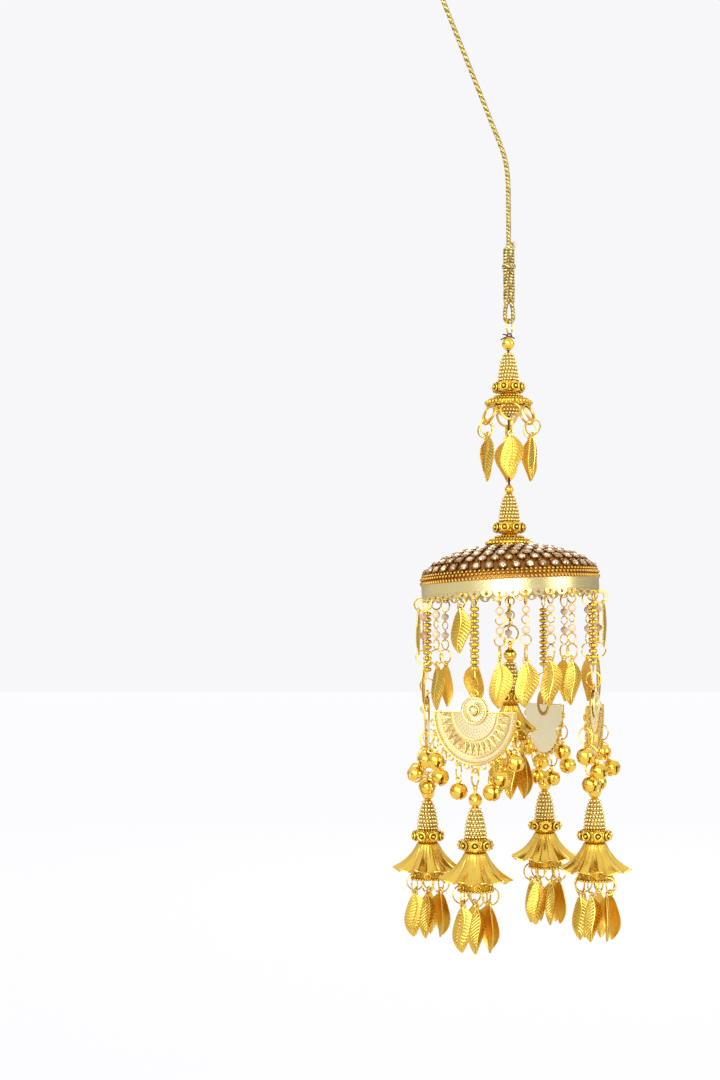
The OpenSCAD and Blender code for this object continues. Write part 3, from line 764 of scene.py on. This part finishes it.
# Leaf that hangs from its eye at the origin, facing +Z, with its tip towards -Y
def makeLeaf():
    k = leafLook
    reach = k["length"] - 0.6

    def spine(t):
        return k["sway"] * math.sin(math.radians(330 * t))

    def half(t):
        return k["width"] / 2 * max(0.0, math.sin(math.pi * max(t, 1e-6) ** 0.85)) ** 0.8

    def surface(t, u):  # t from eye to tip, u from edge to edge
        w = half(t)
        return np.array(
            [
                spine(t) + u * w, -0.6 - reach * t,
                k["crown"] * (1 - 0.8 * u * u) * math.sin(math.pi * t) ** 0.7 - 0.35
            ]
        )

    steps, across = np.linspace(0.004, 0.996, 21), np.linspace(-1, 1, 9)
    front = np.array([[surface(t, u) for u in across] for t in steps])
    back = front - [0, 0, k["thick"]]
    plate = slab(front, back)
    lift = np.array([0, 0, 0.06])
    rib = tube(
        [surface(t, 0) + 2 * lift for t in np.linspace(0.0, 0.985, 18)], np.linspace(k["ribWire"], 0.16, 18), 6
    )
    veins = []
    for side in (-1, 1):
        for i in range(k["veins"]):
            start = 0.05 + 0.8 * i / k["veins"]
            end = min(start + 0.13, 0.97)
            curve = [
                surface(start + (end - start) * q**1.4, side * q * 0.97) + lift for q in (0, 0.34, 0.68, 1)
            ]
            veins.append(tube(curve, [k["veinWire"] * 1.2, k["veinWire"], k["veinWire"], k["veinWire"] * 0.8], 4))
            if 0 < i < k["veins"] - 1:  # a branch that forks off each vein
                fork = [
                    surface(start + 0.03, side * 0.35) + lift, surface(start + 0.015, side * 0.62) + lift,
                    surface(start + 0.03, side * 0.94) + lift
                ]
                veins.append(tube(fork, k["veinWire"] * 0.8, 4))
    edge = []
    for side in (-1, 1):
        fine = np.array([surface(t, side) for t in np.linspace(0.03, 0.985, 200)])
        at = np.arange(0, farAlong(fine)[-1], k["edgePitch"])
        edge.append(pointsAt(fine, at) - [0, 0, k["thick"] / 2])
    beads = scatter(ball(k["edgeGrain"], 1), np.vstack(edge))
    eyelet = put(ring(1.02, 0.36, 18, 6), shift(0, 0, -0.3))
    return [(shadedLeafGround, plate), (leafGold, join(rib, *veins, beads, eyelet))]


leaf = makeLeaf()


# Leaf turned to hang from a point and to face the direction a, in degrees about Z
def hungLeaf(place, a):
    return moved(leaf, shift(*place), turn(a + 90, "Z"), turn(90, "X"))


def hungRing(place, a, radius, wire=0.3):
    return put(jumpRing(radius, wire, dice.uniform(0, 360)), shift(*place), turn(a, "Z"))


charms = {"ring": 3.2, "at": 10.586, "z": -186.0}
parts = []
for i in range(hoopLook["count"]):
    a = (i + 0.5) * 60
    top = around(charms["at"], a, charms["z"]) + [bodyX, 0, 0]
    parts.append((polishedGold, hungRing(top, a, charms["ring"])))
    parts += hungLeaf(top - [0, 0, 2 * charms["ring"]], a + dice.uniform(-6, 6))
makePiece("upperCharms", parts, ["upper_charms"])
print("upper charms made")

# dome
domeLook = {
    "radius": 35.4, "height": 14.2, "rimZ": -251.0, "lean": 2.6,
    "rows": [(33.1, 40), (29.4, 36), (25.5, 32), (21.6, 27), (17.6, 22), (13.6, 17)],
}
d = domeLook
onDome = [shift(bodyX, 0, d["rimZ"]), turn(-d["lean"], "Y")]


def domeLevel(r):
    return d["height"] * math.sqrt(max(0.0, 1 - (r / d["radius"]) ** 2))


def domeTilt(r):  # how far the dome's skin leans from level, in degrees
    return math.degrees(math.atan2(d["height"] ** 2 * r, d["radius"] ** 2 * max(domeLevel(r), 0.01)))


# Round brilliant seen from above: table, eight crown facets split in two, and a girdle
def cutStone(radius):
    a = np.radians(np.arange(8) * 45)
    b = a + np.radians(22.5)
    table = np.stack([0.52 * np.cos(a), 0.52 * np.sin(a), np.full(8, 0.52)], -1)
    mid = np.stack([0.84 * np.cos(b), 0.84 * np.sin(b), np.full(8, 0.3)], -1)
    edge = np.stack([np.cos(a), np.sin(a), np.full(8, 0.0)], -1)
    foot = edge - [0, 0, 0.3]
    points = np.vstack([table, mid, edge, foot]) * radius
    faces = [[0, 1, 2, 3], [0, 3, 4, 7], [4, 5, 6, 7]]
    for i in range(8):
        j = (i + 1) % 8
        faces += [
            [i, 8 + i, j, -1], [8 + i, 16 + i, 16 + j, -1], [8 + i, 16 + j, j, -1],
            [i, 8 + (i - 1) % 8, 16 + i, 8 + i]
        ]
        faces += [[16 + i, 24 + i, 24 + j, 16 + j]]
    faces += [[24, 25, 26, 27], [24, 27, 28, 31], [28, 29, 30, 31]]
    return tidy(points, np.array(faces))


stones, bezels, grains = [], [], []
stone, bezel = cutStone(1.5), ring(1.64, 0.28, 18, 6)
collar = lathe([(1.92, 0.1), (1.92, -0.9), (1.3, -0.9), (1.3, 0.1)], 18)
for row, (r, n) in enumerate(d["rows"]):
    for i in range(n):
        a = (i + 0.5 * (row % 2)) * 360 / n
        out = onDome + [turn(a, "Z"), shift(r, 0, domeLevel(r)), turn(domeTilt(r), "Y")]
        stones.append(
            put(stone, *out, shift(0, 0, 0.62), turn(dice.uniform(0, 45), "Z"), turn(dice.uniform(-5, 5), "X"))
        )
        bezels.append(put(bezel, *out, shift(0, 0, 0.72)))
        bezels.append(put(collar, *out, shift(0, 0, 0.5)))
        for side in (-0.5, 0.5):  # small granules fill the gaps towards the next row
            grains.append(carried((-1.95, side * 1.7, 0.35), *out))
makePiece("domeStones", [(stoneGlass, join(*stones))], ["dome_stones"], sharp=8)

rimRows = []
for r, n in ((34.35, 120), (34.95, 126)):
    for i in range(n):
        rimRows.append(around(r + 0.35, (i + 0.5 * (n == 126)) * 360 / n, domeLevel(r)))
rope = []
for i in range(138):  # the rim's rope: beads laid aslant
    rope.append(
        put(
            ball(0.72), *onDome, turn(i * 360 / 138, "Z"), shift(35.35, 0, 0.55), turn(28, "X"),
            Matrix.Diagonal((0.95, 0.82, 1.25, 1.0))
        )
    )
# Lighter bronze-gold on the dome's rim rows and rope: a painted highlight along the dome's edge, over the darker
# settings
rimHighlightBronze = platedMetal("rimHighlightBronzeGold", "#e8b956", "#bd8734", "#2c1806", (0.18, 0.34), 0.5, 0.02, 0.8)
makePiece(
    "domeSettings",
    [
        (darkBronze, join(*bezels)),
        (darkBronze, scatter(ball(0.55, 1), grains)),
        (rimHighlightBronze, put(scatter(ball(1.0), rimRows, 0.62), *onDome)),
        (rimHighlightBronze, join(*rope)),
    ],
)
for node, metal in (("dome_shell", darkBronze), ("rim_band", paleGold)):
    held = frame["nodes"][node].data.materials
    held.clear()
    held.append(metal)
print("dome made")

# pearl strings and rim leaves
rim = {
    "tabs": 44, "turn": -3.5, "hangRadius": 34.9, "holeZ": -5.4, "pearls": [
        -12, -10, -8, -6, 0, 3, 6, 11, 14, 17, 22, -18
    ],
    "leaves": [-15, -1, -21], "pearl": 1.55, "stringLength": 26.2, "leafRing": 2.6, "leafLean": 28,
}


def tabAngle(k):
    return rim["turn"] + k * 360 / rim["tabs"]


def tabPoint(k):
    return carried(around(rim["hangRadius"], tabAngle(k), rim["holeZ"]), *onDome)


pearlBall = ball(rim["pearl"], 3)
pearlParts, wireParts, leafParts = [], [], []
pinHead = lathe([(0.02, 0.25), (0.45, 0.2), (0.5, -0.05), (0.02, -0.1)], 12, closed=False)
for k in rim["pearls"]:
    top, a = tabPoint(k), tabAngle(k)
    wireParts.append(hungRing(top, a, 2.4))
    for z in (-6.9, -14.5):
        pearlParts.append(put(pearlBall, shift(*(top + [0, 0, z]))))
        for way in (1, -1):
            wireParts.append(
                put(pinHead, shift(*(top + [0, 0, z + way * 1.62])), turn(0 if way > 0 else 180, "X"))
            )
    wireParts.append(tube([top + [0, 0, -4.6], top + [0, 0, -9.3]], 0.2, 6))
    wireParts.append(tube([top + [0, 0, -12.0], top + [0, 0, -17.0]], 0.2, 6))
    wireParts.append(hungRing(top + [0, 0, -8.9], a + 90, 1.6, 0.24))
    wireParts.append(hungRing(top + [0, 0, -16.3], a + 90, 2.0, 0.26))
    wireParts.append(hungRing(top + [0, 0, -20.4], a, 2.9))
    leafParts += hungLeaf(top - [0, 0, rim["stringLength"]], a)
for k in rim["leaves"]:
    top, a = tabPoint(k), tabAngle(k)
    lean = math.radians(rim["leafLean"])
    reach = 2 * rim["leafRing"]
    away = around(reach * math.sin(lean), a, -reach * math.cos(lean))
    leafParts.append(
        (
            polishedGold,
            put(jumpRing(rim["leafRing"], 0.3), shift(*top), turn(a, "Z"), turn(-rim["leafLean"], "Y"))
        )
    )
    leafParts += hungLeaf(top + away, a)
makePiece("stringPearls", [(pearlSkin, join(*pearlParts))], ["pearl_strings"])
makePiece("stringRings", [(polishedGold, join(*wireParts))])
makePiece("rimLeaves", leafParts, ["rim_leaves"])
print("pearl strings made")

# fans and their strands
fan = {
    "tabs": [-14, -3, 8, 20], "turns": [-118, -19, 20, 176], "names": ["front", "right", "back", "left"],
    "strand": 37.8, "beads": 11, "pitch": 2.25, "eyeUp": 7.1, "width": 17.2, "depth": 20, "thick": 0.8,
    "edgeTabs": 15, "hingeTab": 8, "rays": 16,
}
f = fan
# Bead of six granules soldered round a short collar, as in the strands
granuleBead = join(
    scatter(ball(0.9), circle(0.95, 6, 0)), lathe([(0.4, 1.0), (0.95, 0.9), (0.95, -0.9), (0.4, -1.0)], 16)
)
strandParts = []
for i, k in enumerate(f["tabs"]):
    top = tabPoint(k)
    strandParts.append((polishedGold, hungRing(top, tabAngle(k), 2)))
    for n in range(f["beads"]):
        z = -4.6 - f["pitch"] * (n + 0.49)
        strandParts.append(
            (antiqueGold, put(granuleBead, shift(*(top + [0, 0, z])), turn(dice.uniform(0, 45), "Z")))
        )
    strandParts.append((polishedGold, tube([top + [0, 0, -3.8], top + [0, 0, -32.1]], 0.38, 8)))
    strandParts.append((polishedGold, hungRing(top + [0, 0, -f["strand"] + 6], f["turns"][i], 3)))
makePiece("fanStrands", strandParts, ["fan_strands"])


def oval(degrees, k):
    a = math.radians(degrees)
    return np.array([f["width"] * k * math.cos(a), f["depth"] * k * math.sin(a), 0.0])


def evenOval(k, pitch, z):
    fine = np.array([oval(180 + q, k) for q in np.linspace(1, 179, 400)])
    far = farAlong(fine)[-1]
    made = pointsAt(fine, np.linspace(0, far, max(3, round(far / pitch))))
    made[:, 2] = z
    return made


def edgeTab(n):
    if n == f["hingeTab"]:
        return np.array([0, -f["depth"] - 1.3, 0])
    return oval(180 + n * 180 / (f["edgeTabs"] + 1), 1) * (1 + 0.85 / f["depth"])


# Fan seen from its front: X runs along its straight edge, and Y is up
def makeFan():
    top = f["thick"] / 2
    angles = np.linspace(180, 360, 65)
    scales = [0.02, 0.3, 0.52, 0.55, 0.84, 0.87, 0.97, 1.0]
    drop = [0, 0, 0, -0.12, -0.12, 0, 0, -0.1]
    front = np.array([[oval(a, k) + [0, 0, top + z] for a in angles] for k, z in zip(scales, drop)])
    back = np.array([[oval(a, k) - [0, 0, top] for a in angles] for k in scales])
    plate = slab(front, back)
    lines = []
    for k, wire in ((0.995, 0.3), (0.86, 0.24), (0.535, 0.26)):
        lines.append(tube([oval(180 + q, k) + [0, 0, top] for q in np.linspace(0.5, 179.5, 60)], wire, 6))
    lines.append(tube([(-f["width"], 0, top), (f["width"], 0, top)], 0.28, 6))
    zig = []
    for i in range(2 * f["rays"] + 1):
        zig.append(oval(180 + i * 90 / f["rays"], 0.82 if i % 2 else 0.585) + [0, 0, top - 0.02])
    for a, b in zip(zig, zig[1:]):
        lines.append(tube([a, b], 0.27, 5))
    dots, small = [evenOval(0.945, 0.92, top)], []
    for i in range(f["rays"]):
        a = 180 + (i + 0.5) * 180 / f["rays"]
        half = 180 / f["rays"] / 2
        small += [oval(a, 0.64), oval(a - half * 0.28, 0.60), oval(a + half * 0.28, 0.60), oval(a, 0.70)]
        small += [
            oval(a - half, 0.79), oval(a - half * 1.3, 0.815), oval(a - half * 0.7, 0.815), oval(a - half, 0.73)
        ]
    for row, k in enumerate((0.33, 0.38, 0.43, 0.48)):
        count = round(math.pi * k * 18.6 / 1.25)
        small += [oval(180 + (q + 0.5 * (row % 2) + 0.25) * 180 / count, k) for q in range(count)]
    small = np.array(small)
    small[:, 2] = top - 0.05
    granules = join(scatter(ball(0.4), np.vstack(dots)), scatter(ball(0.26, 1), small))
    tabs = []
    for n in range(1, f["edgeTabs"] + 1):
        big = n == f["hingeTab"]
        tabs.append(put(ring(1.5 if big else 1.0, 0.42 if big else 0.34, 20, 8), shift(*edgeTab(n))))
    tabs.append(put(ring(1.3, 0.42, 20, 8), shift(0, f["eyeUp"], 0)))
    at = [shift(0, 0.6, top)]
    a = np.radians(np.arange(96) * 360 / 96)
    shell = []  # scalloped dish with raised flutes, ring round it, ball in the middle
    for r, z, wave in (
        (1.2, 0.35, 0.0), (2.0, 0.5, 0.06), (3.2, 0.7, 0.16), (4.3, 0.75, 0.16), (4.9, 0.3, 0.05),
        (4.9, -0.4, 0.0)
    ):
        shell.append(np.stack([r * np.cos(a), r * np.sin(a), z + wave * np.cos(24 * a)], -1))
    dish = put(tidy(*grid(np.array(shell), closeCols=True)), *at)
    boss = [
        put(ring(4.85, 0.55, 48, 10), *at, shift(0, 0, 0.55)),
        put(ring(2.1, 0.28, 28, 8), *at, shift(0, 0, 0.75)),
        put(ball(1.75, 3), *at, shift(0, 0, 0.9)),
        put(ring(5.2, 0.3, 48, 8), shift(0, 0.6, -top)),
    ]
    hollow = put(
        lathe([(0.02, 0.5), (2.4, 0.35), (4.2, -0.1), (5.0, -0.35), (5.0, 0.4), (0.02, 0.7)], 40, closed=False),
        shift(0, 0.6, -top)
    )
    return [
        (litFanPlate, plate),
        (fanRelief, join(*lines, granules)),
        (paleGold, join(dish, *boss[:3])),
        (antiqueGold, join(*tabs, boss[3])),
        (shadedFiligreeGround, hollow),
    ]


# Stamped fan sheet, softly satin: very pale, a painted highlight of the flat sheet that faces the lamps; its
# raised lines are a stronger yellow
litFanPlate = platedMetal("litSatinPaleGold", "#fff4cc", "#fae8b2", "#c3953c", (0.3, 0.42), 0.5, 0.012, 0.5)
fanRelief = platedMetal("raisedLineGold", "#f6d876", "#e6b84a", "#835a18", (0.18, 0.3), 0.5, 0.01, 0.5)
fanMesh = makeMesh("fan", makeFan())
for i, name in enumerate(f["names"]):
    place = tabPoint(f["tabs"][i]) - [0, 0, f["strand"] + f["eyeUp"]]
    matrix = shift(*place) @ turn(f["turns"][i] + 90, "Z") @ turn(90, "X")
    showPiece(name + "Fan", fanMesh, "ornament", ["fan_" + name], matrix)
print("fans made")

bells = {
    "places": [2, 4, 6, 10, 12, 14], "radius": 3.4, "link": 3.0, "wire": 0.28, "swing": 24, "slit": 1.1,
    "sheet": 0.45
}


# Crossed-slit bell hung from the origin by its link: a domed crown, four petals and a pellet inside
def makeBell():
    k = bells
    radius, sheet = k["radius"], k["sheet"]
    eyeZ = -2 * k["link"] + 2 * 0.3 + 0.08 - 1.1
    centre = eyeZ - 1.1 - radius + 0.15
    a = np.radians(np.linspace(0, 88, 9))
    crown = lathe(
        [(max(0.02, radius * math.sin(t)), radius * math.cos(t)) for t in a]
        + [((radius - sheet) * math.sin(t), (radius - sheet) * math.cos(t)) for t in a[::-1][:-1]]
        + [(0.02, radius - sheet)],
        32,
    )
    petals = []
    for q in range(4):
        outer, inner = [], []
        for t in np.radians(np.linspace(88, 172, 11)):
            out, level = radius * math.sin(t), radius * math.cos(t)
            reach = math.asin(
                min(0.999, (k["slit"] / 2 + 0.25 * max(0, t - 1.6)) / out)
            ) if out > k["slit"] / 2 else 1.5
            spread = max(0.02, math.pi / 4 - reach)
            flare = 1 + 0.05 * (t - 1.5)
            outer.append(
                [
                    (out * flare * math.cos(u), out * flare * math.sin(u), level)
                    for u in q * math.pi / 2 + spread * np.linspace(-1, 1, 9)
                ]
            )
            inner.append(np.array(outer[-1]) * (1 - sheet / radius))
        petals.append(slab(np.array(outer), np.array(inner)))
    waist = ring(radius + 0.02, 0.16, 36, 6)
    link = put(
        tube(
            [
                (0.8 * k["link"] * math.cos(t), 0, k["link"] * math.sin(t) - k["link"])
                for t in np.linspace(0, 2 * math.pi, 28, endpoint=False)
            ], k["wire"], 8, closed=True
        )
    )
    loop = put(ring(1.05, 0.28, 18, 8), shift(0, 0, eyeZ), turn(90, "Y"))
    pellet = put(ball(1.1), shift(0.6, 0.3, centre - 1.6))
    body = join(crown, *petals, waist)
    return [(polishedGold, join(put(body, shift(0, 0, centre)), link, loop)), (shadedFiligreeGround, pellet)]


bell = makeBell()
parts = []
for i in range(4):
    place = tabPoint(f["tabs"][i]) - [0, 0, f["strand"] + f["eyeUp"]]
    for n in bells["places"]:
        tab = edgeTab(n)
        swing = -bells["swing"] if n % 8 == 4 else 0
        parts += moved(
            bell, shift(*place), turn(f["turns"][i], "Z"), shift(0, tab[0], tab[1]), turn(swing, "Y"),
        )
makePiece("fanBells", parts, ["fan_bells"])
print("bells made")

chain = {"links": 9, "top": -243.0, "foot": -268.3, "wire": 0.3}
pitch = (chain["top"] - chain["foot"]) / chain["links"]
links = []
for i in range(chain["links"]):
    links.append(
        put(
            jumpRing(pitch / 2 + 0.33, chain["wire"]), shift(bodyX, 0, chain["top"] - i * pitch),
            turn(90 if i % 2 == 0 else 0, "Z")
        )
    )
makePiece("centreChain", [(polishedGold, join(*links))], ["centre_chain"])

# drops
drop = {
    "ring": 3.3, "ballZ": -11.9, "coneZ": -14.6, "spacerZ": -26.4, "cupZ": -31.0, "cupHeight": 10.8,
    "outerLip": 13.0, "centreLip": 9.8, "petals": 10, "gallery": 6.4, "galleryTop": -40.6, "galleryFoot": -46.0,
    "holeZ": -44.3, "leaves": 6, "leafTurn": 42,
}
# Spun and fluted cups: satin gold, smooth at the neck
cupGold = platedMetal("satinCupGold", "#f9da68", "#e6b43e", "#6e4a12", (0.18, 0.32), 1.4, 0.02, 1.2)


# Frilled cup, its top at the origin: smooth neck, flutes that grow into petals, and a lip that rises and falls
def frilledCup(lip):
    k = drop
    heights = [0, 0.04, 0.1, 0.2, 0.32, 0.45, 0.57, 0.68, 0.78, 0.87, 0.94, 0.98, 1.0]
    widths = [0.27, 0.32, 0.35, 0.385, 0.44, 0.51, 0.585, 0.67, 0.76, 0.86, 0.945, 0.985, 1.0]
    a = np.radians(np.arange(200) * 360 / 200)
    outer, inner = [], []
    for h0, w0 in zip(heights, widths):
        grow = max(0.0, h0 - 0.15) / 0.85
        wave = np.cos(k["petals"] * a)
        fine = np.cos(3 * k["petals"] * a)
        r = lip * w0 * (1 + 0.08 * grow * wave + 0.018 * math.sin(math.pi * min(1, h0 * 1.1)) * fine)
        z = -k["cupHeight"] * h0 + grow**2 * (0.55 * np.cos(k["petals"] * a) + 0.2 * np.cos(5 * a + 1))
        outer.append(np.stack([r * np.cos(a), r * np.sin(a), z], -1))
        inner.append(np.stack([(r - 0.45) * np.cos(a), (r - 0.45) * np.sin(a), z - 0.3 * (1 - grow) - 0.12], -1))
    bore = [np.stack([0.85 * np.cos(a), 0.85 * np.sin(a), np.full(len(a), z)], -1) for z in (-1.1, 0.0)]
    skin = tidy(*grid(np.array(outer + inner[::-1] + bore), closeRows=True, closeCols=True))
    edge = tube(outer[-1] - [0, 0, 0.06], 0.28, 6, closed=True)
    neck = [put(ring(lip * 0.27 + 0.1, 0.2, 40, 6), shift(0, 0, -0.15))]
    return [(cupGold, join(skin, edge, *neck))]


# Gallery under the cup: a granulated plate and a pierced ring that the leaves hang from
def leafGallery():
    k = drop
    r, foot, top = k["gallery"], k["galleryFoot"], k["galleryTop"]
    shell = lathe([(r, top), (r, foot), (r - 0.6, foot), (r - 0.6, top - 0.8), (0.5, top - 0.8), (0.5, top)], 48)
    rows = [
        circle(r + 0.1, 34, foot + 0.3), circle(r + 0.1, 34, top - 0.5), circle(r - 1.4, 26, top - 1.1),
        circle(r - 3.0, 16, top - 1.1)
    ]
    pierced = []
    for n in range(k["leaves"]):
        pierced.append(
            put(
                ring(1.15, 0.3, 18, 6), turn((n + 0.5) * 360 / k["leaves"], "Z"), shift(r, 0, k["holeZ"]),
                turn(90, "Y")
            )
        )
        rows.append([around(r + 0.1, n * 360 / k["leaves"], k["holeZ"] + 0.9)])
    return [(shadedFiligreeGround, shell), (antiqueGold, join(scatter(ball(0.55), np.vstack(rows)), *pierced))]


kinds = {
    "pin": [
        (polishedGold, jumpRing(drop["ring"], 0.36)),
        (polishedGold, tube([(0, 0, -6.6), (0, 0, -45.0)], 0.55, 10)),
        (polishedGold, put(ball(0.95), shift(0, 0, -7.2))),
    ] + leafGallery(),
    "ball": moved([(polishedGold, plainBead(beadLook["radius"], 0.85))], shift(0, 0, drop["ballZ"])),
    "cone": moved(beehiveCone(11.7), shift(0, 0, drop["coneZ"])),
    "spacer": moved(flowerSpacer(), shift(0, 0, drop["spacerZ"])),
    "cup": moved(frilledCup(drop["outerLip"]), shift(0, 0, drop["cupZ"])),
    "centreCup": moved(frilledCup(drop["centreLip"]), shift(0, 0, drop["cupZ"])),
}
slots = {
    "pin": "bright_gold", "ball": "bright_gold", "cone": "antique_gold", "spacer": "antique_gold",
    "cup": "cup_gold"
}
meshes = {}
pivots = {j["child"]: j["pos_m"] for j in frame["joints"]}
for i, name in enumerate(f["names"] + ["centre"]):
    body = name + "_drop"
    pivot = [v * 1000 for v in pivots[body]]
    facing = f["turns"][i] if i < 4 else 0
    matrix = shift(*pivot) @ turn(facing, "Z")
    for kind in slots:
        key = "centreCup" if kind == "cup" and name == "centre" else kind
        piece, node = name + "Drop" + kind.capitalize(), f"{body}_{kind}"
        if key not in meshes:
            meshes[key] = makeMesh(key, kinds[key])
        showPiece(piece, meshes[key], body, [node], matrix)
    parts = []
    for n in range(drop["leaves"]):
        a = (n + 0.5) * 360 / drop["leaves"]
        top = around(drop["gallery"] - 0.3, a, drop["holeZ"])
        parts.append((polishedGold, hungRing(top, a + drop["leafTurn"], drop["ring"])))
        parts += hungLeaf(top - [0, 0, 2 * drop["ring"]], a + drop["leafTurn"] + dice.uniform(-10, 10))
    showPiece(name + "DropCharms", makeMesh("charms", parts), body, [body + "_charms"], matrix)
print("drops made")

# studio
studio = {"floorZ": -0.47, "floorTint": "#f7f7f9", "sky": 1.0}

floorMesh = bpy.data.meshes.new("paleFloor")
reach = 9.0
floorMesh.from_pydata(
    [(x * reach, y * reach, studio["floorZ"]) for x, y in ((-1, -1), (1, -1), (1, 1), (-1, 1))],
    [], [(0, 1, 2, 3)],
)
floor = bpy.data.objects.new("paleFloor", floorMesh)
bpy.context.scene.collection.objects.link(floor)
# Matt white paper that glows a little, as bright as the room behind it
paper = newMaterial(
    "whiteSeamlessPaper",
    {"Base Color": srgb("#2a2a2b"), "Roughness": 0.9, "Emission Color": srgb(studio["floorTint"]),
     "Emission Strength": 0.96},
)[0]
floorMesh.materials.append(paper)

world = bpy.data.worlds.new("softRoom")
bpy.context.scene.world = world
world.use_nodes = True
tree = world.node_tree
background = tree.nodes["Background"]
place = addNode(tree, "ShaderNodeTexCoord")
split = addNode(tree, "ShaderNodeSeparateXYZ", None, {"Vector": place.outputs["Generated"]})
height = addNode(tree, "ShaderNodeMapRange", {"From Min": -1.0, "From Max": 1.0}, {"Value": split.outputs["Z"]})
room = addNode(tree, "ShaderNodeValToRGB", None, {"Fac": height.outputs["Result"]})
for place, shade in ((0.0, "#8a8a8c"), (0.42, "#6a6a6d"), (0.52, "#8d8d90"), (0.66, "#e2e2e4"), (1.0, "#ffffff")):
    if place in (0.0, 1.0):
        stop = room.color_ramp.elements[int(place)]
    else:
        stop = room.color_ramp.elements.new(place)
    stop.color = srgb(shade)
seen = addNode(tree, "ShaderNodeLightPath")
seenRoom = mixColours(tree, seen.outputs["Is Camera Ray"], room.outputs["Color"], studio["floorTint"])
link(tree, background, {"Color": seenRoom})
background.inputs["Strength"].default_value = studio["sky"]

lamps = {
    "frontSoftbox": {"at": (-0.2, -1.25, 0.05), "size": 0.9, "power": 9},
    "keySoftbox": {"at": (-0.75, -0.9, 0.35), "size": 0.6, "power": 5},
    "rightSoftbox": {"at": (0.95, -0.5, 0.05), "size": 0.5, "power": 3},
    "lowStrip": {"at": (0.1, -1.0, -0.42), "size": 0.35, "power": 1},
    "backSoftbox": {"at": (0.2, 1.1, 0.3), "size": 0.8, "power": 5},
}
for name, k in lamps.items():
    light = bpy.data.lights.new(name, "AREA")
    light.shape = "SQUARE"
    light.size = k["size"]
    light.energy = k["power"]
    lamp = bpy.data.objects.new(name, light)
    lamp.location = k["at"]
    aim = Vector((bodyX / 1000, 0, -0.27)) - Vector(k["at"])
    lamp.rotation_euler = aim.to_track_quat("-Z", "Y").to_euler()
    bpy.context.scene.collection.objects.link(lamp)
bpy.context.scene.view_settings.view_transform = "Standard"
print("studio made")
